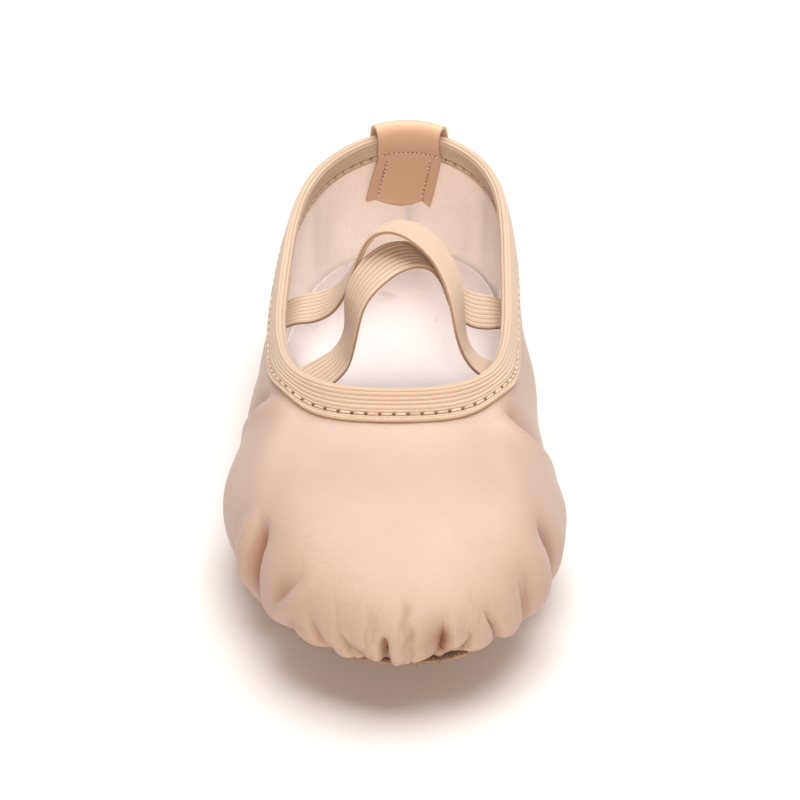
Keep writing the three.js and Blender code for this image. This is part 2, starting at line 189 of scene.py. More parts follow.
CREASES = (
    Crease((-1.5, 0.6), (-1.16, 0.72), 1.5, left=4.5, right=1.6, ridge=0.6, ridge_at=3.2, fade=0.06),
    Crease((-1.22, 0.61), (-0.84, 0.57), 0.6, left=0.5, right=0.8, fade=0.02),
    Crease((-1.9, 0.52), (-1.99, 0.735), 2.5, left=4.6, right=1.0, ridge=1.0, ridge_at=-7.0, ridge_wide=2.8),
    Crease((-0.16, 0.44), (-0.2, 0.635), 4.6, left=0.55, right=0.45, fade=0.025),
    Crease((0.29, 0.46), (0.36, 0.64), 3.2, left=0.45, right=1.5, fade=0.035),
    Crease((0.45, 0.45), (0.58, 0.585), 2.4, left=0.5, right=1.2, fade=0.03),
    Crease((-0.42, 0.46), (-0.57, 0.6), 1.5, left=0.9, right=0.5, fade=0.03),
    Crease((-0.7, 0.46), (-0.9, 0.61), 1.2, left=0.8, right=0.5, fade=0.03),
    Crease((-0.38, 0.58), (-0.36, 0.7), 0.5, left=0.4, right=0.5, wave=0.35),
    Crease((-0.29, 0.58), (-0.31, 0.69), 0.45, left=0.4, right=0.5, wave=0.3),
    Crease((-0.62, 0.62), (-0.7, 0.7), 0.35, left=0.4, right=0.6, wave=0.3),
    Crease((-0.02, 0.5), (0.0, 0.735), 0.95, left=0.35, right=0.5, wave=0.45, fade=0.02),
    Crease((0.05, 0.5), (0.03, 0.68), 0.85, left=0.35, right=0.45, wave=0.4, fade=0.02),
    Crease((0.06, 0.7), (0.06, 0.75), 0.6, left=1.6, right=2.4, fade=0.05),
    Crease((0.96, 0.44), (0.95, 0.58), 1.2, left=0.5, right=0.9, fade=0.05),
    Crease((0.8, 0.6), (0.72, 0.72), 0.5, left=0.4, right=0.6, wave=0.4, fade=0.03),
    Crease((0.9, 0.58), (0.84, 0.69), 0.45, left=0.4, right=0.5, wave=0.35, fade=0.03),
    Crease((1.21, 0.57), (1.24, 0.71), 0.45, left=0.4, right=0.6, wave=0.35),
    Crease((1.47, 0.55), (1.5, 0.7), 0.5, left=0.5, right=0.8, wave=0.3),
    Crease((1.1, 0.56), (1.06, 0.64), 0.4, left=0.4, right=0.6, wave=0.25),
    Crease((0.62, 0.6), (0.6, 0.68), 0.35, left=0.5, right=0.6, wave=0.2),
    Crease((-2.1, 0.5), (-2.2, 0.64), 0.7, left=1.0, right=1.4, fade=0.07),
    Crease((2.5, 0.48), (2.62, 0.62), 0.7, left=1.2, right=1.0, fade=0.07),
    Crease((-2.74, 0.24), (-2.8, 0.48), 0.8, left=0.9, right=0.8),
    Crease((-2.2, 0.24), (-2.24, 0.46), 1.0, left=0.9, right=0.7),
    Crease((-1.44, 0.24), (-1.46, 0.48), 1.0, left=0.8, right=0.7),
    Crease((-0.9, 0.24), (-0.92, 0.45), 0.9, left=0.7, right=0.6),
    Crease((0.12, 0.24), (0.12, 0.47), 0.9, left=0.7, right=0.6),
    Crease((0.68, 0.24), (0.69, 0.46), 0.9, left=0.7, right=0.7),
    Crease((1.12, 0.24), (1.13, 0.48), 1.0, left=0.7, right=0.8),
    Crease((1.56, 0.24), (1.58, 0.49), 0.9, left=0.7, right=0.8),
    Crease((1.82, 0.24), (1.85, 0.5), 1.1, left=0.7, right=0.9),
    Crease((2.36, 0.24), (2.4, 0.46), 0.9, left=0.8, right=0.9),
    Crease((5.2, 0.42), (5.75, 0.68), 0.5, left=3.0, right=2.4, fade=0.1),
    Crease((6.9, 0.48), (6.45, 0.76), 0.45, left=2.4, right=3.0, fade=0.1),
    Crease((-5.3, 0.44), (-5.0, 0.7), 0.45, left=2.6, right=3.0, fade=0.1),
    Crease((-6.5, 0.46), (-6.95, 0.74), 0.5, left=2.8, right=2.2, fade=0.1),
    Crease(
        (-4.32, 0.66), (-3.56, 0.99), 1.9, left=9.0, right=1.5,
        ridge=1.0, ridge_at=4.0, ridge_wide=3.6, fade=0.12,
    ),
    Crease(
        (3.72, 0.66), (3.1, 0.98), 1.9, left=1.5, right=9.0,
        ridge=1.0, ridge_at=-4.0, ridge_wide=3.6, fade=0.12,
    ),
)


@dataclass(frozen=True)
class ShoeForm:
    """The form of the shoe: a smooth skin through the sections, then its folds. Sizes in millimetres."""

    length: float = 185.0
    ball_width: float = 78.0
    instep_height: float = 41.0
    heel_height: float = 50.0
    swing: float = 3.5
    swing_shift: float = -0.7
    wall: float = 1.6
    hem_height: float = 2.3
    hem_share: float = 0.75
    hem_turn: float = 5.0
    toe_spring: float = 6.0
    arch_rise: float = 2.5
    heel_spring: float = 1.0
    toe_line: tuple[float, float] = (-46.0, 34.0)
    arch_line: tuple[float, float] = (12.0, 32.0)
    heel_line: tuple[float, float] = (60.0, 20.0)
    neck_depth: float = 4.2
    neck_run: float = 7.0
    neck_end: float = 42.0
    neck_from: float = 2.2
    neck_to: float = 4.6
    rim_clear: float = 5.5
    rim_wall: float = 0.8
    gather_line: float = 0.56
    gather_end: float = 3.6
    gather_skew: float = 1.4
    pleats: tuple[Pleat, ...] = PLEATS
    creases: tuple[Crease, ...] = CREASES

    @property
    def half_turn(self) -> int:
        """Sections from the toe to the heel."""
        return len(SECTIONS) - 1

    @property
    def full_turn(self) -> int:
        """Sections once round the shoe."""
        return 2 * self.half_turn

    @property
    def spans(self) -> int:
        """Spans of the skin from the hem to the rim."""
        return self.net.shape[1] - 3

    @property
    def sole_edge(self) -> float:
        """Height share of the sole edge, one span from the hem."""
        return 1.0 / self.spans

    def lift(self, y: np.ndarray) -> np.ndarray:
        """Rise of the sole line above the floor.

        Args:
            y: Places along the shoe.

        Returns:
            The rise at each place: sprung toe, low arch, lifted heel tip.
        """
        toe = np.clip((self.toe_line[0] - y) / self.toe_line[1], 0.0, 1.0)
        arch = np.clip((y - self.arch_line[0]) / self.arch_line[1], -1.0, 1.0)
        heel = np.clip((y - self.heel_line[0]) / self.heel_line[1], 0.0, 1.0)
        ends = self.toe_spring * toe ** 2 + self.arch_rise * (0.5 + 0.5 * np.cos(np.pi * arch))
        return ends + self.heel_spring * heel ** 2

    def _section_points(self, row: Section, side: int) -> np.ndarray:
        """Points of one section from the hem to the rim.

        Args:
            row: Shares of the section.
            side: 1 on the right, -1 on the left.

        Returns:
            Six points.
        """
        rim_z = self.instep_height + (self.heel_height - self.instep_height) * row.rim[2]
        wide_z = row.wide[2] * rim_z
        sole, wide = np.array(row.sole), np.array(row.wide[:2])
        under = sole + 0.62 * (wide - sole)
        turn = np.sign(sole[1]) * self.hem_turn * 2.0 / self.length if abs(sole[1]) > 0.65 else 0.0
        rows = np.array((
            (self.hem_share * sole[0], sole[1] - turn, self.hem_height),
            (sole[0], sole[1], self.hem_height),
            (under[0], under[1], self.hem_height + 0.18 * (wide_z - self.hem_height)),
            (wide[0], wide[1], wide_z),
            (row.crown[0], row.crown[1], row.crown[2] * rim_z),
            (row.rim[0], row.rim[1], rim_z),
        ))
        along = rows[:, 1] * self.length / 2.0
        swing = self.swing * (along / 92.0) ** 2 + self.swing_shift
        return np.stack((side * rows[:, 0] * self.ball_width / 2.0 + swing, along, rows[:, 2]), axis=-1)

    @cached_property
    def net(self) -> np.ndarray:
        """Spline net whose smooth skin passes through all section points."""
        right = [self._section_points(row, 1) for row in SECTIONS]
        left = [self._section_points(row, -1) for row in SECTIONS[-2:0:-1]]
        goal = np.array(right + left)
        ring = goal.copy()
        for _ in range(40):
            ring += goal - (np.roll(ring, 1, 0) + 4.0 * ring + np.roll(ring, -1, 0)) / 6.0
        full = ring.copy()
        for _ in range(40):
            smooth = full.copy()
            smooth[:, 1:-1] = (full[:, :-2] + 4.0 * full[:, 1:-1] + full[:, 2:]) / 6.0
            full += ring - smooth
        first = 2.0 * full[:, :1] - full[:, 1:2]
        last = 2.0 * full[:, -1:] - full[:, -2:-1]
        return np.concatenate((first, full, last), axis=1)

    @staticmethod
    def _weights(f: np.ndarray) -> np.ndarray:
        """Spline weights of four neighbours."""
        return np.stack((
            (1.0 - f) ** 3,
            3.0 * f ** 3 - 6.0 * f ** 2 + 4.0,
            -3.0 * f ** 3 + 3.0 * f ** 2 + 3.0 * f + 1.0,
            f ** 3,
        ), axis=-1) / 6.0

    def _base(self, turn: np.ndarray, height: np.ndarray) -> np.ndarray:
        """Points of the smooth skin before its collar.

        Args:
            turn: Places round the shoe in sections from the toe.
            height: Height shares, 0 at the hem and 1 at the rim.

        Returns:
            Points in millimetres.
        """
        turn, height = np.broadcast_arrays(np.asarray(turn, float), np.asarray(height, float))
        wrapped = np.mod(turn, self.full_turn)
        k = np.floor(wrapped).astype(int)
        j = np.clip(np.floor(height * self.spans).astype(int), 0, self.spans - 1)
        across = self._weights(wrapped - k)
        upward = self._weights(height * self.spans - j)
        out = np.zeros(turn.shape + (3,))
        for a in range(4):
            for b in range(4):
                weight = across[..., a] * upward[..., b]
                out += weight[..., None] * self.net[(k + a - 1) % self.full_turn, j + b]
        out[..., 2] += self.lift(out[..., 1]) * (1.0 - ease(4.0, 15.0, out[..., 2]))
        return out

    def point(self, turn: np.ndarray, height: np.ndarray) -> np.ndarray:
        """Points of the smooth skin, lower before the throat so that the rim stands up as a collar.

        Args:
            turn: Places round the shoe in sections from the toe.
            height: Height shares, 0 at the hem and 1 at the rim.

        Returns:
            Points in millimetres.
        """
        out = self._base(turn, height)
        gap = np.linalg.norm(out - self._base(turn, np.ones(np.shape(height))), axis=-1)
        near = 1.0 - (1.0 - np.clip(gap / self.neck_run, 0.0, 1.0)) ** 2
        far = 1.0 - ease(self.neck_run, self.neck_end, gap)
        front = 1.0 - ease(self.neck_from, self.neck_to, np.abs(self.wrapped(turn)))
        out[..., 2] -= self.neck_depth * near * far * front
        return out

    def rim_gap(self, turn: np.ndarray, height: np.ndarray) -> np.ndarray:
        """Distances from the skin to the rim at the same places round the shoe."""
        return np.linalg.norm(self._base(turn, height) - self._base(turn, np.ones(np.shape(height))), axis=-1)

    def wrapped(self, turn: np.ndarray) -> np.ndarray:
        """Places round the shoe counted from the toe, left negative and right positive."""
        return np.asarray(turn) - self.full_turn * np.round(np.asarray(turn) / self.full_turn)

    def directions(
        self, turn: np.ndarray, height: np.ndarray,
    ) -> tuple[np.ndarray, np.ndarray, np.ndarray]:
        """Directions of the smooth skin.

        Args:
            turn: Places round the shoe.
            height: Height shares.

        Returns:
            Outward normals, directions round the shoe, and millimetres per section round it.
        """
        step = 0.01
        low = np.maximum(0.0, height - step)
        high = np.minimum(1.0, height + step)
        around = self.point(turn + step, height) - self.point(turn - step, height)
        upward = self.point(turn, high) - self.point(turn, low)
        stretch = np.linalg.norm(around, axis=-1) / (2.0 * step)
        return unit(np.cross(around, upward)), unit(around), stretch

    def _gather(
        self, turn: np.ndarray, height: np.ndarray, stretch: np.ndarray,
    ) -> tuple[np.ndarray, np.ndarray]:
        """Lobes and valleys of the gathered toe.

        Args:
            turn: Places round the shoe.
            height: Height shares.
            stretch: Millimetres per section round the shoe.

        Returns:
            Inward depth, and shift round the shoe that makes the lips, in millimetres.
        """
        rise = 0.45 * ease(0.2, 0.36, height) + 0.55 * ease(0.44, 0.6, height)
        lines = [np.full(turn.shape, -self.gather_end)]
        vigour = [np.zeros(turn.shape)]
        for pleat in self.pleats:
            lines.append(np.interp(height, (self.gather_line, pleat.reach), (pleat.low, pleat.high)))
            vigour.append(rise * (1.0 - ease(pleat.top - pleat.fade, pleat.top, height)))
        lines.append(np.full(turn.shape, self.gather_end))
        vigour.append(np.zeros(turn.shape))
        line, strength = np.stack(lines, axis=-1), np.stack(vigour, axis=-1)
        depths = strength * np.array([0.0, *(pleat.depth for pleat in self.pleats), 0.0])
        lips = strength * np.array([0.0, *(pleat.lip for pleat in self.pleats), 0.0])
        right = np.clip(np.sum(line < turn[..., None], axis=-1), 1, line.shape[-1] - 1)

        def pick(table: np.ndarray, column: np.ndarray) -> np.ndarray:
            """Numbers of one column of a table, one column for each place."""
            return np.take_along_axis(table, column[..., None], axis=-1)[..., 0]

        start, end = pick(line, right - 1), pick(line, right)
        share = np.clip((turn - start) / np.maximum(end - start, 1e-6), 0.0, 1.0)
        outward = np.clip((start + end) / 0.5, -1.0, 1.0)
        bend = 1.0 + (self.gather_skew - 1.0) * np.abs(outward)
        warped = np.where(outward > 0.0, share ** bend, 1.0 - (1.0 - share) ** bend)
        hard = np.sqrt(np.clip(1.0 - (2.0 * warped - 1.0) ** 2, 0.0, 1.0))
        soft = 0.5 - 0.5 * np.cos(2.0 * math.pi * share)
        blend = share * share * (3.0 - 2.0 * share)
        sharp = pick(strength, right - 1) * (1.0 - blend) + pick(strength, right) * blend
        lobe = soft + (hard - soft) * np.sqrt(sharp)
        deep = pick(depths, right - 1) * (1.0 - blend) + pick(depths, right) * blend
        depth = deep * (1.0 - lobe) - 0.12 * deep * lobe
        span = (turn - end) * stretch
        shift = np.where(end > 0.0, pick(lips, right) * np.exp(-((span / 2.2) ** 2)), 0.0)
        span = (turn - start) * stretch
        shift -= np.where(start < 0.0, pick(lips, right - 1) * np.exp(-((span / 2.2) ** 2)), 0.0)
        return depth, shift

    def crease(
        self, turn: np.ndarray, height: np.ndarray, stretch: np.ndarray,
    ) -> tuple[np.ndarray, np.ndarray]:
        """Inward depth of all folds, and the shift round the shoe that makes their lips.

        Args:
            turn: Places round the shoe.
            height: Height shares.
            stretch: Millimetres per section round the shoe.

        Returns:
            Depth and shift in millimetres.
        """
        turn = self.wrapped(turn)
        free = ease(self.rim_clear, 2.0 * self.rim_clear, self.rim_gap(turn, height))
        depth, shift = self._gather(turn, height, stretch)
        for fold in self.creases:
            ends = sorted((fold.start, fold.end), key=lambda place: place[1])
            places, heights = zip(*ends)
            drift = fold.wave * np.sin(90.0 * height + 7.0 * fold.depth)
            x = (turn - np.interp(height, heights, places)) * stretch - drift
            rise = ease(heights[0] - fold.fade, heights[0] + fold.fade, height)
            strength = rise * (1.0 - ease(heights[1] - fold.fade, heights[1] + fold.fade, height))
            run = fold.left + (fold.right - fold.left) / (1.0 + np.exp(-np.clip(4.0 * x, -60.0, 60.0)))
            reach = np.sqrt(x * x + 0.04) - 0.2
            depth += fold.depth * strength * np.exp(-reach / run)
            if fold.ridge:
                depth -= fold.ridge * strength * np.exp(-(((x - fold.ridge_at) / fold.ridge_wide) ** 2))
        return depth * free, shift * free

    def wall_at(self, turn: np.ndarray, height: np.ndarray) -> np.ndarray:
        """Thickness of the wall, pared thinner towards the rim."""
        return self.rim_wall + (self.wall - self.rim_wall) * ease(4.0, 16.0, self.rim_gap(turn, height))

    def skin(self, turn: np.ndarray, height: np.ndarray, offset: np.ndarray | float = 0.0) -> np.ndarray:
        """Points of the folded skin, moved outward.

        Args:
            turn: Places round the shoe.
            height: Height shares.
            offset: Distance outward in millimetres.

        Returns:
            Points in millimetres.
        """
        turn, height = np.broadcast_arrays(np.asarray(turn, float), np.asarray(height, float))
        normal, around, stretch = self.directions(turn, height)
        depth, shift = self.crease(turn, height, stretch)
        out = self.point(turn, height) + normal * (np.asarray(offset) - depth)[..., None]
        return out + around * shift[..., None]

    def height_below_rim(self, turn: np.ndarray, drop: np.ndarray) -> np.ndarray:
        """Height shares at distances down from the rim.

        Args:
            turn: Places round the shoe.
            drop: Distances along the skin in millimetres, one for each place.

        Returns:
            Height shares.
        """
        turn, drop = np.broadcast_arrays(np.asarray(turn, float), np.asarray(drop, float))
        ladder = np.linspace(1.0, 0.45, 90)
        places, back = np.unique(turn.ravel(), return_inverse=True)
        points = self.point(places[:, None], ladder[None, :])
        steps = np.linalg.norm(np.diff(points, axis=1), axis=-1)
        walked = np.concatenate((np.zeros((len(places), 1)), np.cumsum(steps, axis=1)), axis=1)
        pairs = zip(np.maximum(drop, 0.0).ravel(), back.ravel())
        return np.array([np.interp(down, walked[k], ladder) for down, k in pairs]).reshape(turn.shape)

    def beside_rim(
        self, turn: np.ndarray, drop: np.ndarray, offset: np.ndarray, rise: np.ndarray | float = 0.0,
    ) -> tuple[np.ndarray, np.ndarray, np.ndarray]:
        """Points beside or above the rim.

        Args:
            turn: Places round the shoe.
            drop: Distances below the rim along the skin.
            offset: Distances outward.
            rise: Distances above the rim along the skin.

        Returns:
            Points, outward normals and upward directions.
        """
        turn, drop = np.broadcast_arrays(np.asarray(turn, float), np.asarray(drop, float))
        height = self.height_below_rim(turn, drop)
        normal, around, _ = self.directions(turn, height)
        upward = np.cross(normal, around)
        points = self.skin(turn, height, offset) + upward * np.asarray(rise)[..., None]
        return points, normal, upward


class Workbench:
    """Modelling steps that all pieces share."""

    @staticmethod
    def sheet(name: str, columns: int, rows: int) -> bpy.types.Object:
        """Flat sheet of quads, ready to be shaped.

        Args:
            name: Name of the piece.
            columns: Quads across.
            rows: Quads up.

        Returns:
            The new piece.
        """
        bpy.ops.object.select_all(action="DESELECT")
        bpy.ops.mesh.primitive_grid_add(x_subdivisions=columns, y_subdivisions=rows, size=2.0)
        piece = bpy.context.object
        piece.name = name
        piece.data.name = name
        return piece

    @staticmethod
    def points(piece: bpy.types.Object) -> np.ndarray:
        """Points of all vertices, one row each."""
        flat = np.empty(3 * len(piece.data.vertices))
        piece.data.vertices.foreach_get("co", flat)
        return flat.reshape(-1, 3)

    @staticmethod
    def spread(piece: bpy.types.Object) -> tuple[np.ndarray, np.ndarray]:
        """Shares across and up of each vertex of a flat sheet."""
        flat = Workbench.points(piece)
        return (flat[:, 0] + 1.0) / 2.0, (flat[:, 1] + 1.0) / 2.0

    @staticmethod
    def face_spread(piece: bpy.types.Object) -> tuple[np.ndarray, np.ndarray]:
        """Shares across and up of each face of a flat sheet."""
        flat = np.array([face.center for face in piece.data.polygons])
        return (flat[:, 0] + 1.0) / 2.0, (flat[:, 1] + 1.0) / 2.0

    @staticmethod
    def shape(piece: bpy.types.Object, points: np.ndarray) -> None:
        """Moves every vertex to its point, given in millimetres."""
        piece.data.vertices.foreach_set("co", ((points - CENTRE) * MM).ravel())
        piece.data.update()

    @staticmethod
    def mark(piece: bpy.types.Object, name: str, values: np.ndarray) -> None:
        """Stores one number per vertex for the finish to read."""
        layer = piece.data.attributes.new(name, "FLOAT", "POINT")
        layer.data.foreach_set("value", np.asarray(values, float))

    @staticmethod
    def edit(piece: bpy.types.Object) -> None:
        """Opens one piece for editing."""
        bpy.ops.object.select_all(action="DESELECT")
        piece.select_set(True)
        bpy.context.view_layer.objects.active = piece
        bpy.ops.object.mode_set(mode="EDIT")

    @staticmethod
    def close(piece: bpy.types.Object, fill: bool = False) -> None:
        """Joins the edges that meet and turns the faces outward.

        Args:
            piece: Shaped piece.
            fill: Whether open ends are filled.
        """
        Workbench.edit(piece)
        bpy.ops.mesh.select_all(action="SELECT")
        bpy.ops.mesh.remove_doubles(threshold=MERGE)
        if fill:
            bpy.ops.mesh.select_all(action="SELECT")
            bpy.ops.mesh.fill_holes(sides=0)
        bpy.ops.mesh.select_all(action="SELECT")
        bpy.ops.mesh.normals_make_consistent(inside=False)
        bpy.ops.object.mode_set(mode="OBJECT")
        bpy.ops.object.shade_smooth()

    @staticmethod
    def bridge(piece: bpy.types.Object) -> None:
        """Joins the two open ends of a piece with a band of faces.

        Args:
            piece: Shaped piece.
        """
        Workbench.edit(piece)
        bpy.ops.mesh.select_mode(type="EDGE")
        bpy.ops.mesh.select_all(action="DESELECT")
        bpy.ops.mesh.select_non_manifold(
            extend=False, use_wire=False, use_multi_face=False, use_non_contiguous=False, use_verts=False,
        )
        bpy.ops.mesh.bridge_edge_loops()
        bpy.ops.mesh.select_mode(type="VERT")
        bpy.ops.object.mode_set(mode="OBJECT")

    @staticmethod
    def thicken(piece: bpy.types.Object, thick: float, side: float) -> None:
        """Gives a sheet its thickness.

        Args:
            piece: The sheet, which is the active object.
            thick: Thickness in millimetres.
            side: 1 for all of it on the outside, 0 for half on each side.
        """
        step = piece.modifiers.new("thickness", "SOLIDIFY")
        step.thickness = thick * MM
        step.offset = side
        bpy.ops.object.modifier_apply(modifier=step.name)

    @staticmethod
    def seat(piece: bpy.types.Object, slot: str, nodes: Sequence[str] = ()) -> bpy.types.Object:
        """Fixes a piece to the shoe.

        Args:
            piece: Finished piece.
            slot: Finish slot of the record; not used.
            nodes: Solids that the piece stands for.

        Returns:
            The same piece.
        """
        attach(piece, BODY)
        if nodes:
            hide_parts(*nodes)
        LOG.info("%s: %d faces", piece.name, len(piece.data.polygons))
        return piece


class NodeBench:
    """A new material and short ways to add nodes to it."""

    def __init__(self, name: str) -> None:
        """Starts a material.

        Args:
            name: Name of the finish.
        """
        self.material = bpy.data.materials.new(name)
        self.material.use_nodes = True
        self.tree = self.material.node_tree
        self.shader = self.tree.nodes["Principled BSDF"]

    def node(
        self, kind: str, values: dict[str, object] | None = None, **settings: object,
    ) -> bpy.types.Node:
        """Adds a node.

        Args:
            kind: Kind of node without its prefix.
            values: Socket values or sockets to link from.
            settings: Settings of the node itself.

        Returns:
            The new node.
        """
        made = self.tree.nodes.new("ShaderNode" + kind)
        for key, value in settings.items():
            setattr(made, key, value)
        for key, value in (values or {}).items():
            self.set(made, key, value)
        return made

    def set(self, node: bpy.types.Node, key: str, value: object) -> None:
        """Sets one socket of a node to a value, or links another socket to it.

        Args:
            node: Node that has the socket.
            key: Name or number of the socket.
            value: The value, or the socket to link from.
        """
        socket = node.inputs[int(key)] if key.isdigit() else node.inputs[key]
        if isinstance(value, bpy.types.NodeSocket):
            self.tree.links.new(value, socket)
        else:
            socket.default_value = value

    def math(self, operation: str, first: object, second: object = 0.0) -> bpy.types.NodeSocket:
        """Sum, product or other result of two numbers or sockets."""
        return self.node("Math", {"0": first, "1": second}, operation=operation).outputs[0]

    def weigh(self, first: object, second: object, share: float) -> bpy.types.NodeSocket:
        """Sum of two patterns in which the second has a given share."""
        rest = self.math("MULTIPLY", first, 1.0 - share)
        return self.math("ADD", rest, self.math("MULTIPLY", second, share))

    def noise(
        self, place: object, scale: float, detail: float = 3.0, rough: float = 0.55,
    ) -> bpy.types.NodeSocket:
        """Cloudy pattern between 0 and 1."""
        values = {"Vector": place, "Scale": scale, "Detail": detail, "Roughness": rough}
        return self.node("TexNoise", values).outputs["Fac"]

    def place(self) -> bpy.types.NodeSocket:
        """Place on the object in metres."""
        return self.node("TexCoord").outputs["Object"]

    def marked(self, name: str) -> bpy.types.NodeSocket:
        """Number stored on the mesh under a name."""
        return self.node("Attribute", attribute_name=name).outputs["Fac"]

    def ramp(self, factor: object, stops: Iterable[tuple[float, Colour]]) -> bpy.types.NodeSocket:
        """Colour picked from stops by a number.

        Args:
            factor: Socket that picks the colour.
            stops: Place and colour of each stop.

        Returns:
            Colour socket.
        """
        made = self.node("ValToRGB", {"Fac": factor})
        band = made.color_ramp
        stops = list(stops)
        while len(band.elements) < len(stops):
            band.elements.new(0.5)
        for element, (place, colour) in zip(band.elements, stops):
            element.position = place
            element.color = (*colour, 1.0)
        return made.outputs["Color"]

    def blend(
        self, factor: object, first: object, second: object, mode: str = "MIX",
    ) -> bpy.types.NodeSocket:
        """Mix of two colours.

        Args:
            factor: Share of the second colour.
            first: First colour.
            second: Second colour.
            mode: Way of mixing.

        Returns:
            Colour socket.
        """
        made = self.node("Mix", data_type="RGBA", blend_type=mode)
        for socket, value in ((made.inputs[0], factor), (made.inputs[6], first), (made.inputs[7], second)):
            if isinstance(value, bpy.types.NodeSocket):
                self.tree.links.new(value, socket)
            elif isinstance(value, tuple):
                socket.default_value = (*value, 1.0)
            else:
                socket.default_value = value
        return made.outputs[2]

    def bump(self, height: object, distance: float, strength: float = 1.0) -> None:
        """Raises the surface by a pattern of a given height in metres."""
        values = {"Height": height, "Distance": distance, "Strength": strength}
        self.tree.links.new(self.node("Bump", values).outputs["Normal"], self.shader.inputs["Normal"])

    def dress(self, **values: object) -> bpy.types.Material:
        """Sets sockets of the shader and hands over the material.

        Args:
            values: Socket names with underscores for spaces.

        Returns:
            The finished material.
        """
        for key, value in values.items():
            self.set(self.shader, key.replace("_", " "), (*value, 1.0) if isinstance(value, tuple) else value)
        return self.material


@dataclass(frozen=True)
class LeatherFinish:
    """Soft grained leather, with painted shade in the folds."""

    name: str
    light: Colour = (0.487, 0.375, 0.304)
    mid: Colour = (0.443, 0.325, 0.254)
    shade: Colour = (0.28, 0.13, 0.07)
    roughness: float = 0.54
    grain: float = 0.00007

    def material(self) -> bpy.types.Material:
        """Builds the material.

        Returns:
            The material.
        """
        bench = NodeBench(self.name)
        place = bench.place()
        cloud = bench.noise(place, 42.0, 4.0)
        speck = bench.noise(place, 900.0, 2.0)
        tone = bench.weigh(cloud, speck, 0.2)
        base = bench.ramp(tone, ((0.3, self.mid), (0.7, self.light)))
        # Painted shade: the fold mark blends the leather towards its shade colour in the folds
        valley = bench.math("MULTIPLY", bench.marked("fold"), 0.85)
        colour = bench.blend(valley, base, self.shade)
        cells = bench.node("TexVoronoi", {"Vector": place, "Scale": 1500.0}, feature="SMOOTH_F1")
        pores = bench.noise(place, 2600.0, 2.0)
        soft = bench.noise(place, 240.0, 3.0)
        wrinkles = bench.noise(place, 620.0, 3.0, 0.65)
        lines = bench.math("MULTIPLY", wrinkles, bench.math("MULTIPLY", valley, 3.0))
        pebble = bench.math("ADD", cells.outputs["Distance"], bench.math("MULTIPLY", pores, 0.6))
        upright = bench.node("Mapping", {"Vector": place, "Scale": (520.0, 90.0, 90.0)}).outputs["Vector"]
        streaks = bench.noise(upright, 1.0, 3.0, 0.6)
        thread = bench.ramp(streaks, ((0.0, WHITE), (0.47, WHITE), (0.5, BLACK), (0.53, WHITE)))
        crinkle = bench.math("MULTIPLY", thread, bench.math("MULTIPLY", bench.marked("crinkle"), 2.2))
        lines = bench.math("ADD", lines, crinkle)
        height = bench.math("ADD", bench.math("ADD", pebble, bench.math("MULTIPLY", soft, 0.35)), lines)
        bench.bump(height, self.grain, 0.6)
        rough = bench.math("ADD", bench.math("MULTIPLY", soft, 0.14), self.roughness - 0.07)
        return bench.dress(Base_Color=colour, Roughness=rough, Specular_IOR_Level=0.48, Sheen_Weight=0.1)


@dataclass(frozen=True)
class ElasticFinish:
    """Ribbed elastic with a fine crosswise knit, with painted shade between the ribs and in the needle holes.
    """

    name: str
    ridge: Colour = (0.575, 0.46, 0.36)
    groove: Colour = (0.29, 0.155, 0.075)
    knit: float = 0.00005
    pitch: float = 460.0

    def material(self) -> bpy.types.Material:
        """Builds the material.

        Returns:
            The material.
        """
        bench = NodeBench(self.name)
        place = bench.place()
        # Painted shade: the rib mark darkens the grooves between the ribs towards the groove colour
        rib = bench.marked("rib")
        ribs = bench.ramp(rib, ((0.0, self.groove), (0.5, self.ridge), (1.0, self.ridge)))
        cloud = bench.noise(place, 90.0, 3.0)
        tinted = bench.blend(bench.math("MULTIPLY", cloud, 0.3), ribs, (0.56, 0.36, 0.22))
        # Painted shade: the hole mark darkens the needle holes nearly to black
        colour = bench.blend(bench.marked("hole"), tinted, (0.15, 0.075, 0.042))
        along = bench.node("UVMap").outputs["UV"]
        lengths = bench.node("SeparateXYZ", {"Vector": along}).outputs["X"]
        wave = bench.math("SINE", bench.math("MULTIPLY", lengths, self.pitch * 2.0 * math.pi))
        fuzz = bench.noise(place, 1800.0, 2.0)
        bench.bump(bench.math("ADD", bench.math("MULTIPLY", wave, 0.5), fuzz), self.knit, 0.7)
        return bench.dress(Base_Color=colour, Roughness=0.78, Specular_IOR_Level=0.25, Sheen_Weight=0.25)


